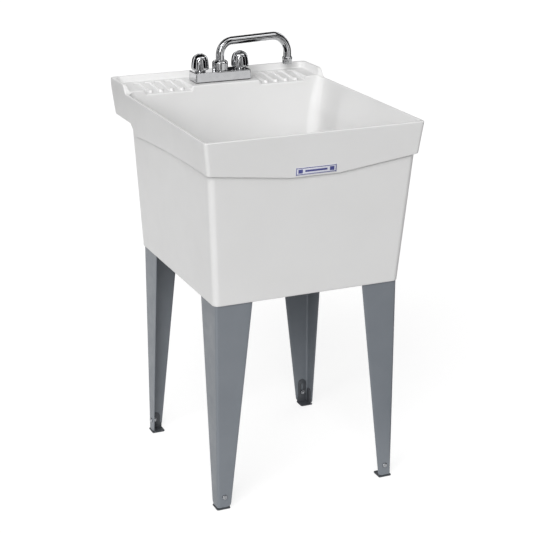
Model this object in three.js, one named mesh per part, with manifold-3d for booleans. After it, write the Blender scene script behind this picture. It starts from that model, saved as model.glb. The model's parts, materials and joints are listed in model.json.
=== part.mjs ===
// Utility laundry sink: a deep moulded tub on four folded steel legs with levelling feet,
// a two-handle deck faucet with a swivelling tubular spout, and a drain with its plug.
//
// Millimetres, +Z up, X to the right, Y towards the wall. The origin is on the floor
// below the middle of the tub.

import * as THREE from 'three';
import * as BufferGeometryUtils from 'three/addons/utils/BufferGeometryUtils.js';
import Module from 'manifold-3d';

const wasm = await Module();
wasm.setup();

// ---------------------------------------------------------------- driving dimensions

const GAP = 0.3;                    // clearance between pieces that touch
const OVERCUT = 20;                 // how far a cutting solid reaches beyond the face that it opens

// Tub, outside
const TUB_WIDTH = 508;              // over the rim, along X
const TUB_DEPTH = 622;              // front rim to the back of the deck, along Y
const RIM_Z = 855;                  // top of the rim round the basin
const WALL = 5;                     // general wall of the moulding
const RIM_ROUND = 2.2;              // rounding of the rim's two edges
const RIM_FLAT = 6;                 // width of the rim between basin and outside
const APRON_DRAFT_X = 0.122;        // how much the apron leans in for each mm down, at the sides
const APRON_DRAFT_Y = 0.108;        // the same at the front
const APRON_STEP = 5;               // how far the body steps in below the apron
const APRON_CORNER_R = 8;
const APRON_CORNER = 72;            // height of the apron at the front corners
const APRON_POINT = 95.5;           // and along its lowest stretch, in the middle of the front
const APRON_POINT_HALF = 57;        // half the length of that stretch
const APRON_SIDE = 93.5;            // greatest height of the side apron, at its back end
const APRON_SIDE_SHORT = 35.5;      // how far that end stays in front of the deck
const APRON_SIDE_CURVE = 2.2;       // how late the side edge curves down
const BODY_DRAFT_X = 0.064;         // draft of the body's sides
const BODY_DRAFT_Y = 0.091;         // draft of the body's front
const BODY_FRONT_R = 22;            // upright corners of the body, front and back
const BODY_BACK_R = 14;
const BACK_WALL = 3.5;              // wall between basin and deck hollow, at its top
const SKIRT = 18;                   // how far the body goes on below the bottom of the basin

// Faucet deck
const DECK_DEPTH = 111.5;           // from its edge over the basin to the back, along Y
const DECK_RISE = 5;                // faucet platform above the rim
const LIP_RISE = 20;                // raised lip round the deck above the rim
const DECK_APRON = 73;              // height of the deck's own apron below the platform
const DECK_BACK_DRAFT = 0.05;
const DECK_WALL = 5.5;              // thickness of the deck plate under the faucet
const LIP_TOP = 7.5;                // width of the raised lip at its top
const LIP_LEAN = 5.5;               // how much its inner face leans out to the foot
const LIP_LEAD = 7.5;               // the lip starts to rise this far in front of the deck
const LIP_SWEEP = 25;               // length of its rise
const POCKET_FRONT_R = 8;           // upright corners of the space inside the lip
const POCKET_BACK_R = 12;
const RIB_CLEAR = 36.7;             // from the faucet base to the first rib, on each side
const RIB_PITCH = 26;
const RIB_WIDTH = 7.5;
const RIB_COUNT = 4;
const RIB_BACK = 22;                // from the ribs' back ends to the back of the deck
const RIB_SETBACK = 12;             // from the deck's front edge to the ribs' front ends
const RIB_TOP_DROP = 5;             // how far the ribs sink towards the basin
const GROOVE_DEPTH_BACK = 2.6;      // depth of the grooves below the deck, back and front
const GROOVE_DEPTH_FRONT = 11;

// Basin
const BASIN_DEPTH = 352;            // from the rim to the bottom of the basin at the drain
const BASIN_FALL = 7;               // how far the floor falls towards the drain
const BASIN_FILLET = 30;            // rounding between floor and walls
const BASIN_BOTTOM_R = 42;          // upright corners of the basin at the bottom
const BASIN_TOP_FRONT_R = 13;       // the same at the rim, front and back
const BASIN_TOP_BACK_R = 20;
const BASIN_BACK_DRAFT = 0.014;
const FLOOR_THICK = 8;

// Legs
const LEG_INSET_SIDE = 3.6;         // from the skirt's outside to the legs' outer faces
const LEG_INSET_FRONT = 3.1;
const LEG_INSET_BACK = 5.5;
const LEG_SHEET = 2;
const LEG_BEND_R = 6;               // outside radius of the fold
const LEG_FOOT_Z = 4.2;             // lower end of the sheet
const LEG_SOCKET_DEPTH = 27;        // how far the legs go up into the tub
const LEG_WIDTH_FLOOR = 31.3;       // width of each flange at the floor
const LEG_TAPER = 0.1129;           // how much it widens for each mm up
const LEG_END_R = 9;                // rounding of the flanges' lower corners
const SOCKET_RIB = 4;               // moulded rib behind each leg flange

// Levelling feet
const FOOT_PLATE = 2.5;             // bottom plate
const FOOT_SHEET = 2.3;             // its uprights
const FOOT_SIZE = 30.5;             // plate, from the outer face of the leg inwards
const FOOT_REACH = 1.5;             // how far the plate stands out of the leg
const FOOT_UPRIGHT_Z = 64;          // top of the slotted upright
const FOOT_STAY_Z = 42;             // top of the plain one
const FOOT_UPRIGHT_WIDTH = 21;
const FOOT_FLARE_LOW = 8;           // the uprights narrow from the plate's width from here ...
const FOOT_FLARE_HIGH = 16;         // ... to here
const FOOT_TRAVEL = 19;             // how far a foot can be let down
const BOLT_R = 3;
const BOLT_Z = 30;
const BOLT_IN = LEG_BEND_R + FOOT_UPRIGHT_WIDTH / 2;   // from the leg's corner to the bolt
const BOLT_HEAD_R = 5.6;
const BOLT_HEAD = 3.4;
const BOLT_TAIL = 3;                // thread standing out of the nut
const NUT_ACROSS = 10;
const NUT_THICK = 5;

// Label on the apron
const LABEL_WIDTH = 95;
const LABEL_HEIGHT = 17;
const LABEL_THICK = 0.6;
const LABEL_ABOVE_EDGE = 4.5;
const LABEL_CORNER_R = 1.5;

// Faucet base
const FAUCET_SETBACK = 42.5;        // from the deck's front edge to the faucet's middle
const BASE_LENGTH = 142;
const BASE_WIDTH = 50;
const BASE_HEIGHT = 22;
const BASE_DRAFT = 1.2;             // the base is this much smaller at its top, each side
const BASE_CORNER_R = 2.5;
const BASE_TOP_ROUND = 1.6;
const GASKET_THICK = 1.6;
const GASKET_INSET = 1.5;
const VALVE_X = 51;                 // valves at 102 mm centres
const VALVE_BORE_R = 8.5;
const VALVE_BORE_DEPTH = 14;
const BONNET_R = 12.8;
const BONNET_HEIGHT = 8;
const STEM_R = 4.4;
const STEM_TOP = 31;                // top of the stem above the base
const SHANK_R = 10.3;
const SHANK_BORE_R = 5.5;
const SHANK_BELOW_DECK = 44;
const SPIGOT_R = 7;
const SPIGOT = 7;
const PASSAGE_R = 3.5;              // water passage along the base
const PASSAGE_RISE = 5;
const RISER_R = 4.5;                // and up to the spout
const DECK_HOLE_R = 14;
const MOUNT_NUT_R = 21;
const MOUNT_NUT_THICK = 10;

// Faucet handles
const HANDLE_R = 21.8;              // over the lobes
const HANDLE_HEIGHT = 36;
const HANDLE_LIFT = 5.8;            // space between base and handle
const HANDLE_LOBES = 4;
const HANDLE_FLUTE = 0.24;          // depth of the flutes at the skirt, share of the radius
const HANDLE_FLUTE_ANGLE = -110;    // direction of one flute when the valve is shut
const CAP_R = 5.8;
const CAP_THICK = 2.6;
const SCREW_R = 2.1;
const SCREW_HEAD_R = 3.9;
const SCREW_HEAD = 2.2;
const SCREW_LENGTH = 12;

// Spout
const SPOUT_R = 9.75;               // outside radius of the tube
const SPOUT_BORE_R = 7.6;
const SPOUT_REACH = 194;            // from the swivel axis to the outlet
const SPOUT_RISE = 91;              // axis of the level run above the deck
const SPOUT_BEND_R = 32;            // bend over the riser
const SPOUT_END_BEND_R = 46;        // bend over the outlet
const SPOUT_ANGLE = 10;             // the spout rests swung to the right, this far back of X
const SPOUT_TIP_RISE = 18.5;        // lower face of the outlet above the deck
const SPOUT_TIP_R = 12.3;
const SPOUT_TIP_HEIGHT = 17.5;
const SPOUT_TIP_SEAT = 6;           // from that face to the end of the tube
const SPOUT_NUT_R = 19;
const SPOUT_NUT_HEIGHT = 23;
const SPOUT_NUT_FLUTES = 8;
const SPOUT_NUT_FLUTE_R = 3.6;
const SPOUT_NUT_FLUTE = 2;          // depth of the flutes
const SPOUT_COLLAR_R = 13;
const SPOUT_COLLAR = 3.6;
const BOSS_R = 14.2;                // threaded boss that the spout nut screws on
const BOSS_HEIGHT = 13;
const SPOUT_SEAT = 12;              // how far the tube reaches into the boss and base
const SPOUT_WELL = 4;               // free depth below the tube's end
const SEAL_RISE = 5;                // seal ring above the tube's end
const SEAL_R = 0.85;                // section of the spout's seal ring

// Drain
const DRAIN_Y = -35;
const DRAIN_BOSS = 4;               // thick floor beyond the strainer's flange
const DRAIN_R = 22;                 // threaded body of the strainer
const DRAIN_BORE_R = 19.2;
const DRAIN_FLANGE_R = 32;
const DRAIN_FLANGE = 2.6;
const DRAIN_LENGTH = 40;
const DRAIN_GRID_DEPTH = 22;
const DRAIN_GRID = 2.6;
const DRAIN_SLOTS = 6;
const DRAIN_SLOT_HALF = 1.8;        // half the width of a slot
const DRAIN_SLOT_IN = 0.3;          // where its ends are centred, as shares of the bore's radius
const DRAIN_SLOT_OUT = 0.78;
const DRAIN_GASKET = 3;
const DRAIN_NUT_R = 33;
const DRAIN_NUT = 8;
const TAIL_R = 19;
const TAIL_WALL = 1.6;
const TAIL_LENGTH = 48;
const TAIL_FLANGE = 2.4;
const SLIP_NUT_R = 28;
const SLIP_NUT_ABOVE = 7;           // length of the slip nut above and below the joint
const SLIP_NUT_BELOW = 8;
const WASHER = 1.8;
const PLUG_DEPTH = 13;
const PLUG_TOP_R = 24;
const PLUG_TOP = 3.4;
const PLUG_KNOB_R = 6.5;
const PLUG_KNOB = 10;

// ---------------------------------------------------------------- materials

function finish(color, roughness, metalness = 0) {
  return new THREE.MeshStandardMaterial({ color, roughness, metalness });
}

const WHITE_PLASTIC = finish(0xdedddc, 0.38);
const LABEL_FILM = finish(0xe8ebf4, 0.45);
const GREY_PAINT = finish(0x767c83, 0.5, 0.1);
const DARK_PAINT = finish(0x3c4045, 0.6, 0.1);
const CHROME = finish(0xd0d2d4, 0.08, 1);
const ZINC = finish(0xb9bec2, 0.35, 1);
const BRASS = finish(0xb08d4c, 0.35, 1);
const STEEL = finish(0xb4b6b8, 0.25, 1);
const RUBBER = finish(0x26272a, 0.8);
const GREY_NYLON = finish(0x9a9c9e, 0.55);

// ---------------------------------------------------------------- solids

const sink = new THREE.Group();

// A closed geometry as a solid that can be joined and cut.
function solidOf(geometry) {
  const bare = geometry.clone();
  bare.deleteAttribute('normal');
  bare.deleteAttribute('uv');
  const merged = BufferGeometryUtils.mergeVertices(bare, 1e-4);
  return new wasm.Manifold(new wasm.Mesh({
    numProp: 3,
    vertProperties: new Float32Array(merged.attributes.position.array),
    triVerts: new Uint32Array(merged.index.array),
  }));
}

// A solid as a geometry.
function geometryOf(solid) {
  const mesh = solid.getMesh();
  const geometry = new THREE.BufferGeometry();
  geometry.setAttribute('position', new THREE.BufferAttribute(new Float32Array(mesh.vertProperties), 3));
  geometry.setIndex(new THREE.BufferAttribute(new Uint32Array(mesh.triVerts), 1));
  geometry.computeVertexNormals();
  return geometry;
}

function addPiece(name, solid, material, parent = sink) {
  const mesh = new THREE.Mesh(geometryOf(solid), material);
  mesh.name = name;
  parent.add(mesh);
  return mesh;
}

// A closed skin over rings of equal length, from the lowest ring to the highest. Each ring
// runs anticlockwise seen from above. A tip closes the bottom in a shallow cone.
function loft(rings, tip = null) {
  const count = rings[0].length;
  const positions = rings.flat().flatMap((point) => [point.x, point.y, point.z]);
  const index = [];
  for (let level = 0; level < rings.length - 1; level++) {
    for (let side = 0; side < count; side++) {
      const low = level * count + side;
      const lowNext = level * count + (side + 1) % count;
      index.push(low, lowNext, lowNext + count, low, lowNext + count, low + count);
    }
  }
  const top = (rings.length - 1) * count;
  for (const [a, b, c] of THREE.ShapeUtils.triangulateShape(rings[rings.length - 1], [])) {
    index.push(top + a, top + b, top + c);
  }
  if (tip) {
    const tipIndex = positions.length / 3;
    positions.push(tip.x, tip.y, tip.z);
    for (let side = 0; side < count; side++) {
      index.push(tipIndex, (side + 1) % count, side);
    }
  } else {
    for (const [a, b, c] of THREE.ShapeUtils.triangulateShape(rings[0], [])) {
      index.push(c, b, a);
    }
  }
  const geometry = new THREE.BufferGeometry();
  geometry.setAttribute('position', new THREE.Float32BufferAttribute(positions, 3));
  geometry.setIndex(index);
  return solidOf(geometry);
}

// A rectangle with rounded corners at one height. The radii go front left, front right,
// back right, back left.
function roundedRing({ x0, x1, y0, y1, radii, z, steps = 5 }) {
  const corners = [
    [x0, y0, 1, 1, Math.PI],
    [x1, y0, -1, 1, 1.5 * Math.PI],
    [x1, y1, -1, -1, 0],
    [x0, y1, 1, -1, 0.5 * Math.PI],
  ];
  return corners.flatMap(([x, y, inX, inY, start], corner) => {
    const radius = radii[corner];
    return Array.from({ length: steps + 1 }, (_, step) => {
      const angle = start + (step / steps) * Math.PI / 2;
      return new THREE.Vector3(
        x + inX * radius + radius * Math.cos(angle),
        y + inY * radius + radius * Math.sin(angle),
        z,
      );
    });
  });
}

// A shape in the Y-Z plane drawn out along X.
function alongX(shape, fromX, toX) {
  const geometry = new THREE.ExtrudeGeometry(shape, { depth: toX - fromX, bevelEnabled: false });
  const turn = new THREE.Matrix4().makeBasis(
    new THREE.Vector3(0, 1, 0),
    new THREE.Vector3(0, 0, 1),
    new THREE.Vector3(1, 0, 0),
  );
  return solidOf(geometry.applyMatrix4(turn).translate(fromX, 0, 0));
}

// A shape in the X-Z plane drawn out along Y.
function alongY(shape, fromY, toY, curveSegments = 8) {
  const geometry = new THREE.ExtrudeGeometry(shape, { depth: toY - fromY, bevelEnabled: false, curveSegments });
  const turn = new THREE.Matrix4().makeBasis(
    new THREE.Vector3(1, 0, 0),
    new THREE.Vector3(0, 0, 1),
    new THREE.Vector3(0, -1, 0),
  );
  return solidOf(geometry.applyMatrix4(turn).translate(0, toY, 0));
}

// A shape in the X-Y plane drawn out along Z.
function alongZ(shape, fromZ, toZ, curveSegments = 8) {
  const geometry = new THREE.ExtrudeGeometry(shape, { depth: toZ - fromZ, bevelEnabled: false, curveSegments });
  return solidOf(geometry.translate(0, 0, fromZ));
}

function box(x0, x1, y0, y1, z0, z1) {
  const geometry = new THREE.BoxGeometry(x1 - x0, y1 - y0, z1 - z0);
  return solidOf(geometry.translate((x0 + x1) / 2, (y0 + y1) / 2, (z0 + z1) / 2));
}

// An upright cylinder about (x, y).
function cylinder(radius, z0, z1, x = 0, y = 0, sides = 16) {
  const geometry = new THREE.CylinderGeometry(radius, radius, z1 - z0, sides);
  return solidOf(geometry.rotateX(Math.PI / 2).translate(x, y, (z0 + z1) / 2));
}

// A closed profile of [radius, height] pairs, anticlockwise with the axis on its left,
// turned about Z.
function turned(profile, sides = 16) {
  const points = profile.map(([radius, height]) => new THREE.Vector2(radius, height));
  if (profile[0][0] > 0) {
    points.push(points[0].clone());
  }
  return solidOf(new THREE.LatheGeometry(points, sides).rotateX(Math.PI / 2));
}

// A hexagonal prism about Z with a round bore.
function hexNut(across, boreRadius, z0, z1) {
  const corner = across / Math.sqrt(3);
  return cylinder(corner, z0, z1, 0, 0, 6).subtract(cylinder(boreRadius, z0 - 1, z1 + 1, 0, 0, 12));
}

function polygon(points) {
  return new THREE.Shape(points.map(([x, y]) => new THREE.Vector2(x, y)));
}

// ---------------------------------------------------------------- tub

const HALF_WIDTH = TUB_WIDTH / 2;
const HALF_DEPTH = TUB_DEPTH / 2;
const LIP_Z = RIM_Z + LIP_RISE;
const DECK_Z = RIM_Z + DECK_RISE;
const DECK_UNDER_Z = DECK_Z - DECK_APRON;
const DECK_FRONT_Y = HALF_DEPTH - DECK_DEPTH;
const FAUCET_Y = DECK_FRONT_Y + FAUCET_SETBACK;
const APRON_CORNER_Z = RIM_Z - APRON_CORNER;
const APRON_POINT_Z = RIM_Z - APRON_POINT;
const APRON_SIDE_Z = RIM_Z - APRON_SIDE;
const APRON_SIDE_END_Y = DECK_FRONT_Y - APRON_SIDE_SHORT;
const BODY_BACK_Y = DECK_FRONT_Y + BACK_WALL;
const BASIN_FLOOR_Z = RIM_Z - BASIN_DEPTH;
const SKIRT_Z = BASIN_FLOOR_Z - SKIRT;
const LIP_START_Y = DECK_FRONT_Y - LIP_LEAD;
const LIP_FULL_Y = LIP_START_Y + LIP_SWEEP;
const RIB_FIRST_X = BASE_LENGTH / 2 + RIB_CLEAR;
const RIB_BACK_Y = HALF_DEPTH - RIB_BACK;
const RIB_FRONT_Y = DECK_FRONT_Y + RIB_SETBACK;
const GROOVE_FRONT_Y = LIP_START_Y;

// Outer faces of the apron and deck at a height: they lean in towards the bottom.
function apronX(z) {
  return HALF_WIDTH - Math.max(RIM_Z - z, 0) * APRON_DRAFT_X;
}

function apronFrontY(z) {
  return -HALF_DEPTH + Math.max(RIM_Z - z, 0) * APRON_DRAFT_Y;
}

function deckBackY(z) {
  return HALF_DEPTH - Math.max(LIP_Z - z, 0) * DECK_BACK_DRAFT;
}

// Outer faces of the body below the apron.
function bodyX(z) {
  return apronX(APRON_CORNER_Z) - APRON_STEP - (APRON_CORNER_Z - z) * BODY_DRAFT_X;
}

function bodyFrontY(z) {
  return apronFrontY(APRON_CORNER_Z) + APRON_STEP + (APRON_CORNER_Z - z) * BODY_DRAFT_Y;
}

function outerRing(z, inset) {
  return roundedRing({
    x0: -apronX(z) + inset,
    x1: apronX(z) - inset,
    y0: apronFrontY(z) + inset,
    y1: deckBackY(z) - inset,
    radii: new Array(4).fill(APRON_CORNER_R - inset),
    z,
    steps: 4,
  });
}

function bodyRing(z) {
  return roundedRing({
    x0: -bodyX(z),
    x1: bodyX(z),
    y0: bodyFrontY(z),
    y1: BODY_BACK_Y,
    radii: [BODY_FRONT_R, BODY_FRONT_R, BODY_BACK_R, BODY_BACK_R],
    z,
    steps: 5,
  });
}

// Rings that round off the outer edge below a top face.
function roundedTop(topZ) {
  return [0, 1, 2].map((step) => {
    const angle = step * Math.PI / 4;
    return outerRing(topZ - RIM_ROUND * (1 - Math.sin(angle)), RIM_ROUND * (1 - Math.cos(angle)));
  });
}

// Lower edge of the apron along the sides: it curves down towards the back.
function sideEdgeZ(y) {
  const frontY = -HALF_DEPTH;
  const share = THREE.MathUtils.clamp((y - frontY) / (APRON_SIDE_END_Y - frontY), 0, 1);
  return APRON_CORNER_Z - (APRON_CORNER_Z - APRON_SIDE_Z) * share ** APRON_SIDE_CURVE;
}

function makeApron() {
  const below = APRON_POINT_Z - OVERCUT;
  const apron = loft([outerRing(below, 0), outerRing(RIM_Z - 4 * RIM_ROUND, 0), ...roundedTop(RIM_Z)]);
  const frontCut = alongY(polygon([
    [-TUB_WIDTH, below - 10],
    [TUB_WIDTH, below - 10],
    [TUB_WIDTH, APRON_CORNER_Z],
    [apronX(APRON_CORNER_Z), APRON_CORNER_Z],
    [APRON_POINT_HALF, APRON_POINT_Z],
    [-APRON_POINT_HALF, APRON_POINT_Z],
    [-apronX(APRON_CORNER_Z), APRON_CORNER_Z],
    [-TUB_WIDTH, APRON_CORNER_Z],
  ]), -TUB_DEPTH, bodyFrontY(APRON_CORNER_Z) + BODY_FRONT_R);
  const frontEnd = bodyFrontY(APRON_CORNER_Z) + BODY_FRONT_R - 1;
  const sideSteps = 7;
  const sideLine = Array.from({ length: sideSteps + 1 }, (_, step) => {
    const y = frontEnd + (step / sideSteps) * (APRON_SIDE_END_Y - frontEnd);
    return [y, sideEdgeZ(y)];
  });
  const sideCut = alongX(polygon([
    [frontEnd, below - 10],
    [TUB_DEPTH, below - 10],
    [TUB_DEPTH, DECK_UNDER_Z],
    [APRON_SIDE_END_Y + DECK_UNDER_Z - APRON_SIDE_Z, DECK_UNDER_Z],
    ...sideLine.reverse(),
  ]), -TUB_WIDTH, TUB_WIDTH);
  return apron.subtract(frontCut).subtract(sideCut);
}

// The raised lip round the back of the deck, which sweeps down into the rim at its ends.
function makeDeckBlock() {
  const start = RIM_Z - 2 * RIM_ROUND;
  const block = loft([outerRing(start, 0), ...roundedTop(LIP_Z)]);
  const sweepSteps = 6;
  const sweep = Array.from({ length: sweepSteps + 1 }, (_, step) => {
    const share = step / sweepSteps;
    const rise = (1 - Math.cos(Math.PI * share)) / 2;
    return [LIP_START_Y + share * (LIP_FULL_Y - LIP_START_Y), RIM_Z - 1 + rise * (LIP_Z - RIM_Z + 1)];
  });
  const keep = alongX(polygon([
    [LIP_START_Y, start - 10],
    [TUB_DEPTH, start - 10],
    [TUB_DEPTH, LIP_Z + 5],
    [LIP_FULL_Y, LIP_Z + 5],
    ...sweep.reverse(),
  ]), -TUB_WIDTH, TUB_WIDTH);
  return block.intersect(keep);
}

// Inner faces of the basin at a height: one wall inside the body, then out to the rim.
function basinInset(z, outsideAtRim, wallBelow) {
  const bendZ = APRON_CORNER_Z;
  if (z <= bendZ) {
    return wallBelow(z);
  }
  const share = (z - bendZ) / (RIM_Z - bendZ);
  return THREE.MathUtils.lerp(wallBelow(bendZ), outsideAtRim, share);
}

function basinX(z) {
  return basinInset(z, HALF_WIDTH - RIM_FLAT, (height) => bodyX(height) - WALL);
}

function basinFrontY(z) {
  return basinInset(z, -HALF_DEPTH + RIM_FLAT, (height) => bodyFrontY(height) + WALL);
}

function basinBackY(z) {
  return DECK_FRONT_Y - (DECK_Z - z) * BASIN_BACK_DRAFT;
}

function basinRing(z, inset = 0, backInset = inset) {
  const share = (z - BASIN_FLOOR_Z) / (RIM_Z - BASIN_FLOOR_Z);
  const frontR = THREE.MathUtils.lerp(BASIN_BOTTOM_R, BASIN_TOP_FRONT_R, share);
  const backR = THREE.MathUtils.lerp(BASIN_BOTTOM_R, BASIN_TOP_BACK_R, share);
  return roundedRing({
    x0: -basinX(z) + inset,
    x1: basinX(z) - inset,
    y0: basinFrontY(z) + inset,
    y1: basinBackY(z) - backInset,
    radii: [frontR, frontR, backR, backR].map((radius) => Math.max(radius - Math.max(inset, 0), 2)),
    z,
    steps: 6,
  });
}

function makeBasinHollow() {
  const edgeZ = BASIN_FLOOR_Z + BASIN_FALL;
  const fillet = [0, 1, 2, 3, 4].map((step) => {
    const angle = step * Math.PI / 8;
    const z = edgeZ + BASIN_FILLET * (1 - Math.cos(angle));
    return basinRing(z, BASIN_FILLET * (1 - Math.sin(angle)));
  });
  const walls = [0.5, 0.93, 1.07].map((share) => {
    return basinRing(BASIN_FLOOR_Z + share * (APRON_CORNER_Z - BASIN_FLOOR_Z));
  });
  const rimFlare = [0, 1, 2].map((step) => {
    const angle = step * Math.PI / 4;
    const z = RIM_Z - RIM_ROUND * (1 - Math.sin(angle));
    const flare = RIM_ROUND * (1 - Math.cos(angle));
    return basinRing(z, -flare, 0);
  });
  const deckEdge = [
    [RIM_Z + 0.05, 0],
    [DECK_Z - 3, 0],
    [DECK_Z - 1, 0.9],
    [DECK_Z, 3],
    [DECK_Z + 1, 3],
  ].map(([z, flare]) => roundedRing({
    x0: -HALF_WIDTH + LIP_TOP,
    x1: HALF_WIDTH - LIP_TOP,
    y0: -HALF_DEPTH + RIM_FLAT,
    y1: basinBackY(z) + flare,
    radii: [BASIN_TOP_FRONT_R, BASIN_TOP_FRONT_R, BASIN_TOP_BACK_R, BASIN_TOP_BACK_R],
    z,
    steps: 6,
  }));
  const tip = new THREE.Vector3(0, DRAIN_Y, BASIN_FLOOR_Z);
  return loft([...fillet, ...walls, ...rimFlare, ...deckEdge], tip);
}

// The space over the deck inside its lip.
function makeDeckPocket() {
  const levels = [
    [DECK_Z, 2.5],
    [DECK_Z + 0.8, 0.8],
    [DECK_Z + 2.8, 0],
    [LIP_Z - RIM_ROUND, -LIP_LEAN],
    [LIP_Z - 0.4, -LIP_LEAN - 0.6 * RIM_ROUND],
    [LIP_Z + 1, -LIP_LEAN - 1.6 * RIM_ROUND],
  ];
  const footX = HALF_WIDTH - LIP_TOP - LIP_LEAN;
  const footY = HALF_DEPTH - LIP_TOP - LIP_LEAN;
  return loft(levels.map(([z, inset]) => roundedRing({
    x0: -footX + inset,
    x1: footX - inset,
    y0: 0,
    y1: footY - inset,
    radii: [POCKET_FRONT_R, POCKET_FRONT_R, POCKET_BACK_R, POCKET_BACK_R],
    z,
    steps: 4,
  })));
}

// Height of a surface that sinks from the back of the soap tray towards the basin.
function trayZ(y, backDepth, frontDepth) {
  const share = (RIB_BACK_Y - y) / (RIB_BACK_Y - DECK_FRONT_Y);
  return DECK_Z - THREE.MathUtils.lerp(backDepth, frontDepth, share);
}

// Sides of the grooves: how far they stand out at a height above the grooves' floor.
const GROOVE_LEVELS = [
  [-3.2, 0],
  [-1, 0.7],
  [0, 3],
  [0.6, 3 + GROOVE_DEPTH_FRONT],
];

function onGrooveFloor([x, y], above) {
  return new THREE.Vector3(x, y, trayZ(y, GROOVE_DEPTH_BACK, GROOVE_DEPTH_FRONT) + above);
}

// One groove of a soap tray: round at the back, open over the basin, sinking to the front.
function makeGroove(centreX) {
  const half = (RIB_PITCH - RIB_WIDTH) / 2;
  const centreY = RIB_BACK_Y - half;
  return loft(GROOVE_LEVELS.map(([grow, above]) => {
    const radius = half + grow;
    const arc = Array.from({ length: 7 }, (_, step) => {
      const angle = step * Math.PI / 6;
      return [centreX + radius * Math.cos(angle), centreY + radius * Math.sin(angle)];
    });
    const outline = [[centreX - radius, GROOVE_FRONT_Y], [centreX + radius, GROOVE_FRONT_Y], ...arc];
    return outline.map((point) => onGrooveFloor(point, above));
  }));
}

// The open floor that joins the grooves in front of the ribs, less the ribs' round ends.
function makeTrayFront(fromX, toX) {
  const half = RIB_WIDTH / 2;
  const endY = RIB_FRONT_Y + half;
  let front = loft(GROOVE_LEVELS.map(([grow, above]) => [
    [fromX - grow, GROOVE_FRONT_Y],
    [toX + grow, GROOVE_FRONT_Y],
    [toX + grow, endY],
    [fromX - grow, endY],
  ].map((point) => onGrooveFloor(point, above))));
  for (let rib = 0; rib < RIB_COUNT; rib++) {
    const x = (fromX + toX) / 2 + (rib - (RIB_COUNT - 1) / 2) * RIB_PITCH;
    front = front.subtract(cylinder(half, DECK_Z - OVERCUT, DECK_Z + OVERCUT, x, endY, 12));
  }
  return front;
}

// A soap tray: the ribs' tops sink a little, and grooves run between them.
function makeTray(side) {
  const half = (RIB_PITCH - RIB_WIDTH) / 2;
  const innerX = RIB_FIRST_X - RIB_PITCH + RIB_WIDTH / 2;
  const outerX = RIB_FIRST_X + RIB_COUNT * RIB_PITCH - RIB_WIDTH / 2;
  const plan = roundedRing({
    x0: side > 0 ? innerX : -outerX,
    x1: side > 0 ? outerX : -innerX,
    y0: GROOVE_FRONT_Y,
    y1: RIB_BACK_Y,
    radii: [0.5, 0.5, half, half],
    z: DECK_Z + 2,
    steps: 4,
  });
  const floor = plan.map((point) => new THREE.Vector3(point.x, point.y, trayZ(point.y, 0.4, RIB_TOP_DROP)));
  let tray = loft([floor, plan]);
  for (let groove = 0; groove <= RIB_COUNT; groove++) {
    tray = tray.add(makeGroove(side * (RIB_FIRST_X + (groove - 0.5) * RIB_PITCH)));
  }
  return tray.add(side > 0 ? makeTrayFront(innerX, outerX) : makeTrayFront(-outerX, -innerX));
}

// The hollow below the deck, where the faucet is connected.
function makeUnderDeck() {
  const hollow = loft([DECK_UNDER_Z - 10, DECK_Z].map((z) => roundedRing({
    x0: -apronX(z) + WALL,
    x1: apronX(z) - WALL,
    y0: BODY_BACK_Y,
    y1: deckBackY(z) - WALL,
    radii: [3, 3, 6, 6],
    z,
    steps: 3,
  })));
  const overTrays = alongX(polygon([
    [BODY_BACK_Y - 10, trayZ(BODY_BACK_Y, GROOVE_DEPTH_BACK, GROOVE_DEPTH_FRONT) - WALL],
    [HALF_DEPTH, trayZ(HALF_DEPTH, GROOVE_DEPTH_BACK, GROOVE_DEPTH_FRONT) - WALL - 2],
    [HALF_DEPTH, LIP_Z],
    [BODY_BACK_Y - 10, LIP_Z],
  ]), -TUB_WIDTH, TUB_WIDTH);
  const platformX = RIB_FIRST_X - RIB_PITCH - WALL;
  const underFaucet = box(
    -platformX,
    platformX,
    BODY_BACK_Y + 3,
    HALF_DEPTH - LIP_TOP - LIP_LEAN - WALL,
    DECK_UNDER_Z,
    DECK_Z - DECK_WALL,
  );
  return hollow.subtract(overTrays).add(underFaucet);
}

// Corner of each leg and its turn about Z: flange u runs along X at 0 degrees.
const LEG_X = bodyX(SKIRT_Z) - LEG_INSET_SIDE;
const LEG_FRONT_Y = bodyFrontY(SKIRT_Z) + LEG_INSET_FRONT;
const LEG_BACK_Y = BODY_BACK_Y - LEG_INSET_BACK;
const LEGS = [
  { key: 'front_left', x: -LEG_X, y: LEG_FRONT_Y, turn: 0, boltFlange: 'u' },
  { key: 'front_right', x: LEG_X, y: LEG_FRONT_Y, turn: 90, boltFlange: 'v' },
  { key: 'back_right', x: LEG_X, y: LEG_BACK_Y, turn: 180, boltFlange: 'u' },
  { key: 'back_left', x: -LEG_X, y: LEG_BACK_Y, turn: 270, boltFlange: 'u' },
];
const LEG_TOP_Z = SKIRT_Z + LEG_SOCKET_DEPTH;

function placeAtLeg(solid, leg) {
  return solid.rotate([0, 0, leg.turn]).translate([leg.x, leg.y, 0]);
}

function flangeWidth(z) {
  return LEG_WIDTH_FLOOR + z * LEG_TAPER;
}

// Section of a folded leg with its outer corner at the origin, grown by a clearance.
function legRing(z, width, grow = 0) {
  const sheet = LEG_SHEET + grow;
  const outer = LEG_BEND_R + grow;
  const inner = LEG_BEND_R - LEG_SHEET - grow;
  const steps = 3;
  const arc = (radius, from, to) => Array.from({ length: steps + 1 }, (_, step) => {
    const angle = THREE.MathUtils.lerp(from, to, step / steps);
    return [LEG_BEND_R + radius * Math.cos(angle), LEG_BEND_R + radius * Math.sin(angle)];
  });
  return [
    ...arc(outer, Math.PI, 1.5 * Math.PI),
    [width + grow, -grow],
    [width + grow, sheet],
    ...arc(inner, 1.5 * Math.PI, Math.PI),
    [sheet, width + grow],
    [-grow, width + grow],
  ].map(([x, y]) => new THREE.Vector3(x, y, z));
}

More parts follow.
